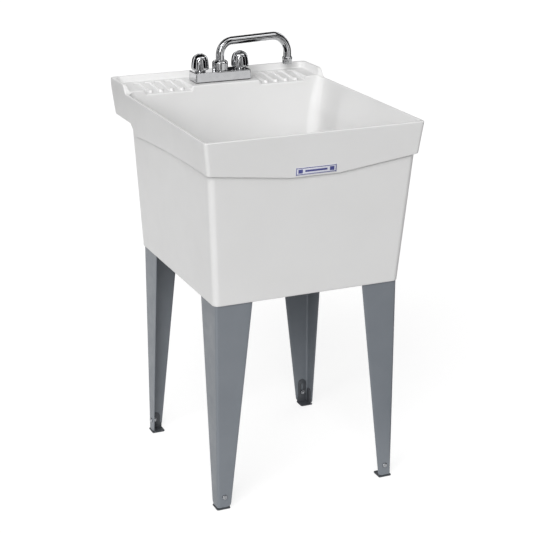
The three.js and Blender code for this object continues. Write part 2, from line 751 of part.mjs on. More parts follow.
// Space under the floor of the basin, less the sockets for the legs and the drain's boss.
function makeUnderFloor() {
  const topZ = BASIN_FLOOR_Z + BASIN_FALL - FLOOR_THICK;
  const ring = (z) => roundedRing({
    x0: -bodyX(SKIRT_Z) + WALL,
    x1: bodyX(SKIRT_Z) - WALL,
    y0: bodyFrontY(SKIRT_Z) + WALL,
    y1: BODY_BACK_Y - WALL,
    radii: [BODY_FRONT_R - WALL, BODY_FRONT_R - WALL, BODY_BACK_R - WALL, BODY_BACK_R - WALL],
    z,
    steps: 4,
  });
  const hollow = loft([ring(SKIRT_Z - 10), ring(topZ)]);
  const boss = cylinder(DRAIN_FLANGE_R + DRAIN_BOSS, BASIN_FLOOR_Z - FLOOR_THICK, RIM_Z, 0, DRAIN_Y, 32);
  const length = flangeWidth(SKIRT_Z) + GAP + SOCKET_RIB;
  const thick = LEG_SHEET + GAP + SOCKET_RIB;
  const socket = box(-WALL, length, -WALL, thick, SKIRT_Z, RIM_Z)
    .add(box(-WALL, thick, -WALL, length, SKIRT_Z, RIM_Z));
  return LEGS.reduce((space, leg) => space.subtract(placeAtLeg(socket, leg)), hollow.subtract(boss));
}

function makeTub() {
  const body = loft([bodyRing(SKIRT_Z), bodyRing(RIM_Z - 2 * RIM_ROUND)]);
  let tub = makeApron().add(makeDeckBlock()).add(body);
  tub = tub.subtract(makeBasinHollow()).subtract(makeDeckPocket());
  tub = tub.subtract(makeUnderDeck()).subtract(makeUnderFloor());
  tub = tub.subtract(makeTray(-1)).subtract(makeTray(1));
  const slotTop = LEG_TOP_Z + GAP;
  const slot = loft([
    legRing(SKIRT_Z - 5, flangeWidth(SKIRT_Z - 5), GAP),
    legRing(slotTop, flangeWidth(slotTop), GAP),
  ]);
  for (const leg of LEGS) {
    tub = tub.subtract(placeAtLeg(slot, leg));
  }
  for (const x of [-VALVE_X, VALVE_X]) {
    tub = tub.subtract(cylinder(DECK_HOLE_R, DECK_Z - OVERCUT, DECK_Z + OVERCUT, x, FAUCET_Y));
  }
  const recessZ = BASIN_FLOOR_Z - DRAIN_FLANGE - GAP;
  tub = tub.subtract(cylinder(DRAIN_R + 2 * GAP, SKIRT_Z, BASIN_FLOOR_Z + OVERCUT, 0, DRAIN_Y));
  return tub.subtract(cylinder(DRAIN_FLANGE_R + 2 * GAP, recessZ, BASIN_FLOOR_Z + OVERCUT, 0, DRAIN_Y, 32));
}

addPiece('tub', makeTub(), WHITE_PLASTIC);

// The bare label lies on the slope of the apron, over the lowest stretch of its edge.
function makeLabel() {
  const lowZ = APRON_POINT_Z + LABEL_ABOVE_EDGE;
  const lean = Math.atan(APRON_DRAFT_Y);
  const outline = new THREE.Shape();
  const half = LABEL_WIDTH / 2;
  const corner = LABEL_CORNER_R;
  outline.moveTo(-half + corner, 0);
  outline.lineTo(half - corner, 0);
  outline.absarc(half - corner, corner, corner, -Math.PI / 2, 0);
  outline.lineTo(half, LABEL_HEIGHT - corner);
  outline.absarc(half - corner, LABEL_HEIGHT - corner, corner, 0, Math.PI / 2);
  outline.lineTo(-half + corner, LABEL_HEIGHT);
  outline.absarc(-half + corner, LABEL_HEIGHT - corner, corner, Math.PI / 2, Math.PI);
  outline.lineTo(-half, corner);
  outline.absarc(-half + corner, corner, corner, Math.PI, 1.5 * Math.PI);
  return alongY(outline, -GAP - LABEL_THICK, -GAP, 3)
    .rotate([lean * 180 / Math.PI, 0, 0])
    .translate([0, apronFrontY(lowZ), lowZ]);
}

addPiece('front_label', makeLabel(), LABEL_FILM);

// ---------------------------------------------------------------- legs and levelling feet

// Turns a solid drawn for flange u, which lies along x, onto flange v, which lies along y.
function ontoFlange(solid, flange) {
  return flange === 'u' ? solid : solid.mirror([1, -1, 0]);
}

// A bolt or bore along y through the flange, about the bolt's place.
function acrossFlange(solid) {
  return solid.rotate([-90, 0, 0]).translate([BOLT_IN, 0, BOLT_Z]);
}

function makeLeg(leg) {
  const endLevels = [0, 0.25, 0.6, 1].map((share) => {
    const z = LEG_FOOT_Z + share * LEG_END_R;
    const back = LEG_END_R * (1 - Math.sqrt(1 - (1 - share) ** 2));
    return legRing(z, flangeWidth(z) - back);
  });
  const sheet = loft([...endLevels, legRing(LEG_TOP_Z, flangeWidth(LEG_TOP_Z))]);
  const hole = acrossFlange(cylinder(BOLT_R + GAP, -5, 5, 0, 0, 12));
  return placeAtLeg(sheet.subtract(ontoFlange(hole, leg.boltFlange)), leg);
}

// An upright of the foot against flange u: as wide as the plate near the floor, then
// narrower, with a round top.
function makeUpright(topZ) {
  const startX = LEG_BEND_R;
  const half = FOOT_UPRIGHT_WIDTH / 2;
  const endX = FOOT_SIZE;
  const neckX = startX + FOOT_UPRIGHT_WIDTH;
  const shape = new THREE.Shape();
  shape.moveTo(startX, 0);
  shape.lineTo(endX, 0);
  shape.lineTo(endX, FOOT_FLARE_LOW);
  shape.quadraticCurveTo(endX, (FOOT_FLARE_LOW + FOOT_FLARE_HIGH) / 2, neckX, FOOT_FLARE_HIGH);
  shape.lineTo(neckX, topZ - half);
  shape.absarc(startX + half, topZ - half, half, 0, Math.PI);
  const near = LEG_SHEET + GAP;
  return alongY(shape, near, near + FOOT_SHEET, 3);
}

function makeFoot(leg) {
  const plate = loft([0, FOOT_PLATE].map((z) => roundedRing({
    x0: -FOOT_REACH,
    x1: FOOT_SIZE,
    y0: -FOOT_REACH,
    y1: FOOT_SIZE,
    radii: [4, 3, 5, 3],
    z,
    steps: 2,
  })));
  const slotEnd = BOLT_Z + FOOT_TRAVEL;
  const slotHalf = BOLT_R + GAP;
  const slotShape = new THREE.Shape();
  slotShape.absarc(BOLT_IN, slotEnd, slotHalf, 0, Math.PI);
  slotShape.absarc(BOLT_IN, BOLT_Z, slotHalf, Math.PI, 2 * Math.PI);
  const slotted = makeUpright(FOOT_UPRIGHT_Z).subtract(alongY(slotShape, 0, FOOT_SIZE, 3));
  const stay = ontoFlange(makeUpright(FOOT_STAY_Z), 'v');
  const foot = ontoFlange(plate.add(slotted).add(stay), leg.boltFlange);
  return placeAtLeg(foot, leg);
}

// Everything along the bolt is measured inwards from the outer face of the flange.
const CLAMPED = LEG_SHEET + GAP + FOOT_SHEET + GAP;

function makeFootBolt(leg) {
  const bolt = turned([
    [0, CLAMPED + NUT_THICK + BOLT_TAIL],
    [BOLT_R - 0.6, CLAMPED + NUT_THICK + BOLT_TAIL],
    [BOLT_R, CLAMPED + NUT_THICK + BOLT_TAIL - 1],
    [BOLT_R, -GAP],
    [BOLT_HEAD_R, -GAP],
    [BOLT_HEAD_R, -GAP - 0.4 * BOLT_HEAD],
    [0.72 * BOLT_HEAD_R, -GAP - 0.88 * BOLT_HEAD],
    [0, -GAP - BOLT_HEAD],
  ].reverse(), 12);
  return placeAtLeg(ontoFlange(acrossFlange(bolt), leg.boltFlange), leg);
}

function makeFootNut(leg) {
  const nut = hexNut(NUT_ACROSS, BOLT_R + GAP, CLAMPED, CLAMPED + NUT_THICK);
  return placeAtLeg(ontoFlange(acrossFlange(nut), leg.boltFlange), leg);
}

for (const leg of LEGS) {
  addPiece(`leg_${leg.key}`, makeLeg(leg), GREY_PAINT);
  addPiece(`foot_${leg.key}`, makeFoot(leg), DARK_PAINT);
  addPiece(`foot_bolt_${leg.key}`, makeFootBolt(leg), ZINC);
  addPiece(`foot_nut_${leg.key}`, makeFootNut(leg), ZINC);
}

// ---------------------------------------------------------------- faucet

// The faucet's pieces are measured up from the deck about the middle of the base.
const faucet = new THREE.Group();
faucet.position.set(0, FAUCET_Y, DECK_Z);
sink.add(faucet);

const BASE_Z = GASKET_THICK + 2 * GAP;
const BASE_TOP_Z = BASE_Z + BASE_HEIGHT;

function baseRing(z, inset) {
  const draft = BASE_DRAFT * (z - BASE_Z) / BASE_HEIGHT;
  return roundedRing({
    x0: -BASE_LENGTH / 2 + draft + inset,
    x1: BASE_LENGTH / 2 - draft - inset,
    y0: -BASE_WIDTH / 2 + draft + inset,
    y1: BASE_WIDTH / 2 - draft - inset,
    radii: new Array(4).fill(BASE_CORNER_R),
    z,
    steps: 3,
  });
}

function makeFaucetBody() {
  const block = loft([
    baseRing(BASE_Z, 0),
    baseRing(BASE_TOP_Z - BASE_TOP_ROUND, 0),
    baseRing(BASE_TOP_Z - 0.3 * BASE_TOP_ROUND, 0.3 * BASE_TOP_ROUND),
    baseRing(BASE_TOP_Z, BASE_TOP_ROUND),
  ]);
  const boss = cylinder(BOSS_R, BASE_TOP_Z - 1, BASE_TOP_Z + BOSS_HEIGHT);
  const wellZ = BASE_TOP_Z + BOSS_HEIGHT - SPOUT_SEAT - SPOUT_WELL;
  const well = cylinder(SPOUT_R + 2 * GAP, wellZ, BASE_TOP_Z + BOSS_HEIGHT + 1);
  const passageZ = BASE_Z + PASSAGE_RISE;
  const passage = cylinder(PASSAGE_R, -VALVE_X, VALVE_X, 0, 0, 12)
    .rotate([0, 90, 0])
    .translate([0, 0, passageZ]);
  const riser = cylinder(RISER_R, passageZ, wellZ + 1);
  let body = block.add(boss).subtract(well).subtract(passage).subtract(riser);
  for (const x of [-VALVE_X, VALVE_X]) {
    body = body
      .subtract(cylinder(VALVE_BORE_R, BASE_TOP_Z - VALVE_BORE_DEPTH, BASE_TOP_Z + 1, x))
      .subtract(cylinder(SPIGOT_R + GAP, BASE_Z - 1, BASE_Z + SPIGOT + GAP, x));
  }
  return body;
}

function makeGasket() {
  const ring = (z) => roundedRing({
    x0: -BASE_LENGTH / 2 + GASKET_INSET,
    x1: BASE_LENGTH / 2 - GASKET_INSET,
    y0: -BASE_WIDTH / 2 + GASKET_INSET,
    y1: BASE_WIDTH / 2 - GASKET_INSET,
    radii: new Array(4).fill(BASE_CORNER_R),
    z,
    steps: 3,
  });
  let pad = loft([ring(GAP), ring(GAP + GASKET_THICK)]);
  for (const x of [-VALVE_X, VALVE_X]) {
    pad = pad.subtract(cylinder(SHANK_R + 1, -1, GASKET_THICK + 2, x));
  }
  return pad;
}

// Threaded pipe through the deck, with a spigot up into the body.
function makeShank() {
  const lowZ = -DECK_WALL - SHANK_BELOW_DECK;
  return turned([
    [SHANK_BORE_R, lowZ],
    [SHANK_R - 1, lowZ],
    [SHANK_R, lowZ + 1],
    [SHANK_R, BASE_Z - GAP],
    [SPIGOT_R, BASE_Z - GAP],
    [SPIGOT_R, BASE_Z + SPIGOT],
    [SHANK_BORE_R, BASE_Z + SPIGOT],
  ]);
}

// Wing nut that pulls the faucet down from below the deck.
function makeMountNut() {
  const topZ = -DECK_WALL - GAP;
  const bottomZ = topZ - MOUNT_NUT_THICK;
  const hub = cylinder(0.76 * MOUNT_NUT_R, bottomZ, topZ);
  const flange = cylinder(MOUNT_NUT_R, topZ - 2.5, topZ);
  const wing = box(-MOUNT_NUT_R, MOUNT_NUT_R, -2, 2, bottomZ - 3, topZ - 1);
  return hub.add(flange).add(wing).subtract(cylinder(SHANK_R + GAP, bottomZ - 5, topZ + 1));
}

// Nut that holds the valve down in its bore.
function makeBonnet() {
  const z = BASE_TOP_Z + GAP;
  return turned([
    [STEM_R + GAP, z],
    [BONNET_R, z],
    [BONNET_R, z + BONNET_HEIGHT - 2],
    [BONNET_R - 2.5, z + BONNET_HEIGHT],
    [STEM_R + GAP, z + BONNET_HEIGHT],
  ]);
}

// Valve and its stem in one piece, which turns with the handle.
function makeStem() {
  const lowZ = BASE_TOP_Z - VALVE_BORE_DEPTH + GAP;
  const stem = turned([
    [0, lowZ],
    [VALVE_BORE_R - GAP, lowZ],
    [VALVE_BORE_R - GAP, BASE_TOP_Z - GAP],
    [STEM_R, BASE_TOP_Z - GAP],
    [STEM_R, BASE_TOP_Z + STEM_TOP],
    [0, BASE_TOP_Z + STEM_TOP],
  ]);
  const tapped = BASE_TOP_Z + STEM_TOP - SCREW_LENGTH - 1;
  return stem.subtract(cylinder(SCREW_R + GAP, tapped, BASE_TOP_Z + STEM_TOP + 1, 0, 0, 12));
}

// Outline of the handle from its skirt to its dome: share of the height, share of the radius.
const HANDLE_PROFILE = [
  [0, 0.93],
  [0.05, 1],
  [0.25, 0.98],
  [0.45, 0.935],
  [0.62, 0.88],
  [0.75, 0.8],
  [0.86, 0.67],
  [0.94, 0.48],
  [1, 0.27],
];

function makeHandle(side) {
  const skirtZ = BASE_TOP_Z + HANDLE_LIFT;
  const points = 32;
  const rings = HANDLE_PROFILE.map(([rise, spread]) => Array.from({ length: points }, (_, step) => {
    const angle = step / points * 2 * Math.PI;
    const lobe = Math.cos(HANDLE_LOBES * (angle - THREE.MathUtils.degToRad(HANDLE_FLUTE_ANGLE)));
    const flute = HANDLE_FLUTE * Math.max(1 - 1.35 * rise, 0) * Math.max(lobe, 0) ** 1.5;
    const radius = HANDLE_R * spread * (1 - flute);
    return new THREE.Vector3(
      radius * Math.cos(angle),
      radius * Math.sin(angle),
      skirtZ + rise * HANDLE_HEIGHT,
    );
  }));
  const topZ = skirtZ + HANDLE_HEIGHT;
  const stemTop = BASE_TOP_Z + STEM_TOP;
  const capSeat = topZ - CAP_THICK - GAP;
  const recess = cylinder(BONNET_R + 2 * GAP, skirtZ - 1, BASE_TOP_Z + BONNET_HEIGHT + 3 * GAP);
  const socket = cylinder(STEM_R + GAP, skirtZ, stemTop + GAP, 0, 0, 20);
  const screwHole = cylinder(SCREW_R + GAP, stemTop, topZ, 0, 0, 12);
  const headRoom = cylinder(SCREW_HEAD_R + GAP, capSeat - SCREW_HEAD - 2 * GAP, topZ);
  const capRoom = cylinder(CAP_R + GAP, capSeat, topZ + 1);
  return loft(rings)
    .subtract(recess)
    .subtract(socket)
    .subtract(screwHole)
    .subtract(headRoom)
    .subtract(capRoom)
    .translate([side * VALVE_X, 0, 0]);
}

function makeHandleScrew() {
  const topZ = BASE_TOP_Z + HANDLE_LIFT + HANDLE_HEIGHT;
  const headTop = topZ - CAP_THICK - 2 * GAP;
  const headLow = headTop - SCREW_HEAD + GAP;
  const lowZ = BASE_TOP_Z + STEM_TOP - SCREW_LENGTH;
  return turned([
    [0, lowZ],
    [SCREW_R, lowZ],
    [SCREW_R, headLow],
    [SCREW_HEAD_R, headLow],
    [SCREW_HEAD_R, headTop],
    [0, headTop],
  ]);
}

function makeCap() {
  const topZ = BASE_TOP_Z + HANDLE_LIFT + HANDLE_HEIGHT;
  const seat = topZ - CAP_THICK;
  return turned([
    [0, seat],
    [CAP_R, seat],
    [CAP_R, topZ - 0.2],
    [0.7 * CAP_R, topZ + 0.6],
    [0, topZ + 0.9],
  ]);
}

addPiece('faucet_body', makeFaucetBody(), CHROME, faucet);
addPiece('faucet_gasket', makeGasket(), RUBBER, faucet);

for (const [water, side] of [['hot', -1], ['cold', 1]]) {
  const at = [side * VALVE_X, 0, 0];
  addPiece(`${water}_shank`, makeShank().translate(at), BRASS, faucet);
  addPiece(`${water}_mounting_nut`, makeMountNut().translate(at), GREY_NYLON, faucet);
  addPiece(`${water}_bonnet`, makeBonnet().translate(at), CHROME, faucet);
  addPiece(`${water}_stem`, makeStem().translate(at), BRASS, faucet);
  addPiece(`${water}_handle`, makeHandle(side), CHROME, faucet);
  addPiece(`${water}_handle_screw`, makeHandleScrew().translate(at), STEEL, faucet);
  addPiece(`${water}_handle_cap`, makeCap().translate(at), CHROME, faucet);
}

// ---------------------------------------------------------------- spout

// The spout is drawn pointing along X and swung about its riser.
const spout = new THREE.Group();
spout.rotation.z = THREE.MathUtils.degToRad(SPOUT_ANGLE);
faucet.add(spout);

const SPOUT_FOOT_Z = BASE_TOP_Z + BOSS_HEIGHT - SPOUT_SEAT;
const COLLAR_Z = BASE_TOP_Z + BOSS_HEIGHT + GAP;
const SEAL_Z = SPOUT_FOOT_Z + SEAL_RISE;

// A quarter bend in the X-Z plane.
class QuarterBend extends THREE.Curve {
  constructor(centreX, centreZ, radius, startAngle, endAngle) {
    super();
    Object.assign(this, { centreX, centreZ, radius, startAngle, endAngle });
  }

  getPoint(share, target = new THREE.Vector3()) {
    const angle = THREE.MathUtils.lerp(this.startAngle, this.endAngle, share);
    return target.set(
      this.centreX + this.radius * Math.cos(angle),
      0,
      this.centreZ + this.radius * Math.sin(angle),
    );
  }
}

function spoutPath() {
  const point = (x, z) => new THREE.Vector3(x, 0, z);
  const path = new THREE.CurvePath();
  const firstZ = SPOUT_RISE - SPOUT_BEND_R;
  const lastX = SPOUT_REACH - SPOUT_END_BEND_R;
  const lastZ = SPOUT_RISE - SPOUT_END_BEND_R;
  path.add(new THREE.LineCurve3(point(0, SPOUT_FOOT_Z), point(0, firstZ)));
  path.add(new QuarterBend(SPOUT_BEND_R, firstZ, SPOUT_BEND_R, Math.PI, Math.PI / 2));
  path.add(new THREE.LineCurve3(point(SPOUT_BEND_R, SPOUT_RISE), point(lastX, SPOUT_RISE)));
  path.add(new QuarterBend(lastX, lastZ, SPOUT_END_BEND_R, Math.PI / 2, 0));
  path.add(new THREE.LineCurve3(point(SPOUT_REACH, lastZ), point(SPOUT_REACH, SPOUT_TIP_RISE + SPOUT_TIP_SEAT)));
  return path;
}

function makeSpoutTube() {
  const section = new THREE.Shape();
  section.absarc(0, 0, SPOUT_R, 0, 2 * Math.PI);
  const bore = new THREE.Path();
  bore.absarc(0, 0, SPOUT_BORE_R, 0, 2 * Math.PI);
  section.holes.push(bore);
  const tube = solidOf(new THREE.ExtrudeGeometry(section, {
    steps: 20,
    curveSegments: 8,
    extrudePath: spoutPath(),
  }));
  const collar = turned([
    [SPOUT_R - 1, COLLAR_Z],
    [SPOUT_COLLAR_R, COLLAR_Z],
    [SPOUT_COLLAR_R, COLLAR_Z + SPOUT_COLLAR - 0.8],
    [SPOUT_COLLAR_R - 0.8, COLLAR_Z + SPOUT_COLLAR],
    [SPOUT_R - 1, COLLAR_Z + SPOUT_COLLAR],
  ]);
  const sealGroove = turned([
    [SPOUT_R - 2 * SEAL_R, SEAL_Z - SEAL_R - GAP],
    [SPOUT_R + 2, SEAL_Z - SEAL_R - GAP],
    [SPOUT_R + 2, SEAL_Z + SEAL_R + GAP],
    [SPOUT_R - 2 * SEAL_R, SEAL_Z + SEAL_R + GAP],
  ]);
  return tube.add(collar).subtract(sealGroove);
}

function makeSpoutSeal() {
  const middle = SPOUT_R + GAP - SEAL_R;
  return solidOf(new THREE.TorusGeometry(middle, SEAL_R, 6, 16).translate(0, 0, SEAL_Z));
}

// Outlet screwed on the end of the tube.
function makeSpoutTip() {
  const lowZ = SPOUT_TIP_RISE;
  const topZ = lowZ + SPOUT_TIP_HEIGHT;
  const shoulder = lowZ + SPOUT_TIP_SEAT - GAP;
  return turned([
    [SPOUT_BORE_R, lowZ],
    [SPOUT_TIP_R - 1.2, lowZ],
    [SPOUT_TIP_R - 0.4, lowZ + 0.8],
    [SPOUT_TIP_R - 0.4, lowZ + 0.62 * SPOUT_TIP_HEIGHT],
    [SPOUT_TIP_R, lowZ + 0.68 * SPOUT_TIP_HEIGHT],
    [SPOUT_TIP_R, topZ - 1.2],
    [SPOUT_TIP_R - 1, topZ],
    [SPOUT_R + GAP, topZ],
    [SPOUT_R + GAP, shoulder],
    [SPOUT_BORE_R, shoulder],
  ], 20).translate([SPOUT_REACH, 0, 0]);
}

// Fluted nut over the boss, which traps the collar of the spout.
function makeSpoutNut() {
  const lowZ = BASE_TOP_Z + GAP;
  const topZ = BASE_TOP_Z + SPOUT_NUT_HEIGHT;
  const shoulder = COLLAR_Z + SPOUT_COLLAR + GAP;
  let nut = turned([
    [BOSS_R + GAP, lowZ],
    [SPOUT_NUT_R, lowZ],
    [SPOUT_NUT_R, topZ - 5],
    [SPOUT_NUT_R - 1, topZ - 3],
    [SPOUT_NUT_R - 4, topZ],
    [SPOUT_R + GAP, topZ],
    [SPOUT_R + GAP, shoulder],
    [BOSS_R + GAP, shoulder],
  ], 24);
  for (let flute = 0; flute < SPOUT_NUT_FLUTES; flute++) {
    const angle = THREE.MathUtils.degToRad(HANDLE_FLUTE_ANGLE + flute * 360 / SPOUT_NUT_FLUTES);
    const radius = SPOUT_NUT_FLUTE_R;
    const centre = SPOUT_NUT_R + radius - SPOUT_NUT_FLUTE;
    nut = nut.subtract(cylinder(
      radius,
      lowZ - 1,
      topZ - 5.5,
      centre * Math.cos(angle),
      centre * Math.sin(angle),
      10,
    ));
  }
  return nut;
}

addPiece('spout_nut', makeSpoutNut(), CHROME, faucet);
addPiece('spout_tube', makeSpoutTube(), CHROME, spout);
addPiece('spout_seal', makeSpoutSeal(), RUBBER, spout);
addPiece('spout_tip', makeSpoutTip(), CHROME, spout);

// ---------------------------------------------------------------- drain

// The drain's pieces are measured from the bottom of the basin at its middle.
const drain = new THREE.Group();
drain.position.set(0, DRAIN_Y, BASIN_FLOOR_Z);
sink.add(drain);

const DRAIN_LOW_Z = -DRAIN_FLANGE - DRAIN_LENGTH;

// Flanged strainer with a slotted grid across its throat.
function makeStrainer() {
  const gridTop = -DRAIN_GRID_DEPTH;
  const shell = turned([
    [0, gridTop - DRAIN_GRID],
    [DRAIN_BORE_R - 1, gridTop - DRAIN_GRID],
    [DRAIN_BORE_R - 1, DRAIN_LOW_Z],
    [DRAIN_R, DRAIN_LOW_Z],
    [DRAIN_R, -DRAIN_FLANGE],
    [DRAIN_FLANGE_R, -DRAIN_FLANGE],
    [DRAIN_FLANGE_R, -0.8],
    [DRAIN_FLANGE_R - 1.2, 0],
    [DRAIN_BORE_R + 2.2, -0.4],
    [DRAIN_BORE_R, -2.4],
    [DRAIN_BORE_R, gridTop],
    [0, gridTop],
  ], 24);
  const slotShape = new THREE.Shape();
  slotShape.absarc(DRAIN_SLOT_OUT * DRAIN_BORE_R, 0, DRAIN_SLOT_HALF, -Math.PI / 2, Math.PI / 2);
  slotShape.absarc(DRAIN_SLOT_IN * DRAIN_BORE_R, 0, DRAIN_SLOT_HALF, Math.PI / 2, 1.5 * Math.PI);
  const slot = alongZ(slotShape, gridTop - DRAIN_GRID - 1, gridTop + 1, 3);
  return Array.from({ length: DRAIN_SLOTS }).reduce((strainer, _, index) => {
    return strainer.subtract(slot.rotate([0, 0, index * 360 / DRAIN_SLOTS]));
  }, shell);
}

function ringSolid(innerR, outerR, z0, z1, sides = 20) {
  return turned([
    [innerR, z0],
    [outerR, z0],
    [outerR, z1],
    [innerR, z1],
  ], sides);
}

const DRAIN_SEAT_Z = -FLOOR_THICK - GAP;
const DRAIN_NUT_TOP = DRAIN_SEAT_Z - DRAIN_GASKET - GAP;
const JOINT_Z = DRAIN_LOW_Z - GAP - WASHER - GAP;   // top face of the tailpiece

function makeDrainNut() {
  const lowZ = DRAIN_NUT_TOP - DRAIN_NUT;
  const hub = cylinder(DRAIN_NUT_R, DRAIN_NUT_TOP - 3, DRAIN_NUT_TOP, 0, 0, 20);
  return hub
    .add(cylinder(DRAIN_NUT_R - 3, lowZ, DRAIN_NUT_TOP - 1, 0, 0, 8))
    .subtract(cylinder(DRAIN_R + GAP, lowZ - 1, DRAIN_NUT_TOP + 1, 0, 0, 24));
}

function makeTailpiece() {
  return turned([
    [TAIL_R - TAIL_WALL, JOINT_Z - TAIL_LENGTH],
    [TAIL_R, JOINT_Z - TAIL_LENGTH],
    [TAIL_R, JOINT_Z - TAIL_FLANGE],
    [DRAIN_R - 0.5, JOINT_Z - TAIL_FLANGE],
    [DRAIN_R - 0.5, JOINT_Z],
    [TAIL_R - TAIL_WALL, JOINT_Z],
  ], 20);
}

function makeSlipNut() {
  const seat = JOINT_Z - TAIL_FLANGE - GAP;
  const topZ = DRAIN_LOW_Z + SLIP_NUT_ABOVE;
  const lowZ = seat - SLIP_NUT_BELOW;
  return cylinder(SLIP_NUT_R, lowZ, topZ, 0, 0, 10)
    .subtract(cylinder(DRAIN_R + GAP, seat, topZ + 1, 0, 0, 24))
    .subtract(cylinder(TAIL_R + GAP, lowZ - 1, seat + 1, 0, 0, 20));
}

// Rubber plug that drops into the strainer, with a knob to lift it by.
function makePlug() {
  return turned([
    [0, -PLUG_DEPTH],
    [DRAIN_BORE_R - 1.6, -PLUG_DEPTH],
    [DRAIN_BORE_R - 2 * GAP, -2],
    [DRAIN_BORE_R - 2 * GAP, GAP],
    [PLUG_TOP_R, GAP],
    [PLUG_TOP_R, PLUG_TOP - 1],
    [PLUG_TOP_R - 2, PLUG_TOP],
    [0.55 * PLUG_KNOB_R, PLUG_TOP],
    [0.5 * PLUG_KNOB_R, PLUG_TOP + 0.45 * PLUG_KNOB],
    [PLUG_KNOB_R, PLUG_TOP + 0.65 * PLUG_KNOB],
    [PLUG_KNOB_R, PLUG_TOP + 0.85 * PLUG_KNOB],
    [0.6 * PLUG_KNOB_R, PLUG_TOP + PLUG_KNOB],
    [0, PLUG_TOP + PLUG_KNOB],
  ]);
}

addPiece('drain_strainer', makeStrainer(), STEEL, drain);
const gasketTop = DRAIN_SEAT_Z;
addPiece('drain_gasket', ringSolid(DRAIN_R + GAP, DRAIN_FLANGE_R, gasketTop - DRAIN_GASKET, gasketTop), RUBBER, drain);
addPiece('drain_locknut', makeDrainNut(), GREY_NYLON, drain);
addPiece('drain_washer', ringSolid(TAIL_R - 1, DRAIN_R - 0.5, JOINT_Z + GAP, JOINT_Z + GAP + WASHER), RUBBER, drain);
addPiece('drain_tailpiece', makeTailpiece(), WHITE_PLASTIC, drain);
addPiece('drain_slip_nut', makeSlipNut(), WHITE_PLASTIC, drain);
addPiece('drain_plug', makePlug(), RUBBER, drain);

export default sink;
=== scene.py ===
"""Looks of the utility laundry sink. +Z up, X to the right, Y towards the wall.

Sizes of the sink are written in millimetres, and those of the studio in metres.
"""
import json
import math

import bmesh
import bpy
import numpy as np
from mathutils import Matrix, Vector


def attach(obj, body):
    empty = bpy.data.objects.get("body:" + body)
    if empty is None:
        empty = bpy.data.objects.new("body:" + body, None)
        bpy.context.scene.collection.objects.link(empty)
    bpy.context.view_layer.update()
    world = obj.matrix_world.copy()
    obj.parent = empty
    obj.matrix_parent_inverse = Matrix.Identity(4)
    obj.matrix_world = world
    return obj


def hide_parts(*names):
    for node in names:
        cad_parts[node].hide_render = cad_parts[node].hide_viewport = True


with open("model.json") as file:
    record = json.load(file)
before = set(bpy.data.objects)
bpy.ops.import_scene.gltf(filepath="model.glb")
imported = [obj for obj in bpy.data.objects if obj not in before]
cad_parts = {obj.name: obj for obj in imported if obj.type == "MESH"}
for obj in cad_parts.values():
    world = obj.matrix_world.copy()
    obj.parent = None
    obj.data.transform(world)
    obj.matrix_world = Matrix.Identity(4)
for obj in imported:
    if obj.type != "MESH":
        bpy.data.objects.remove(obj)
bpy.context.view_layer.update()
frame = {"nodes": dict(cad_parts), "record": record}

MM = 0.001

POINT_Z = 759.5  # lowest edge of the apron
LABEL_HALF = 47.5
LABEL_HIGH = 17.0
LABEL_LOW_Z = POINT_Z + 4.5
LABEL_RISE = 0.994  # share of the label's height that its lean leaves

# ---- camera

CAMERA_AT = (-1.28343, -3.01261, 1.58877)
CAMERA_YAW = math.radians(23.341)
CAMERA_PITCH = math.radians(18.985)
LENS = 99.75
SENSOR = 36
FAR_CLIP = 100


def added(name, data):
    """A new object in the scene."""
    thing = bpy.data.objects.new(name, data)
    bpy.context.scene.collection.objects.link(thing)
    return thing


def aim(thing, direction):
    """Turns a camera or a lamp to face a direction."""
    thing.rotation_mode = "QUATERNION"
    thing.rotation_quaternion = Vector(direction).to_track_quat("-Z", "Y")


def make_camera():
    data = bpy.data.cameras.new("camera")
    data.lens = LENS
    data.sensor_width = SENSOR
    data.clip_end = FAR_CLIP
    camera = added("camera", data)
    camera.location = CAMERA_AT
    level = math.cos(CAMERA_PITCH)
    aim(camera, (math.sin(CAMERA_YAW) * level, math.cos(CAMERA_YAW) * level, -math.sin(CAMERA_PITCH)))
    bpy.context.scene.camera = camera


make_camera()
bpy.context.scene.view_settings.view_transform = "Standard"

# ---- materials


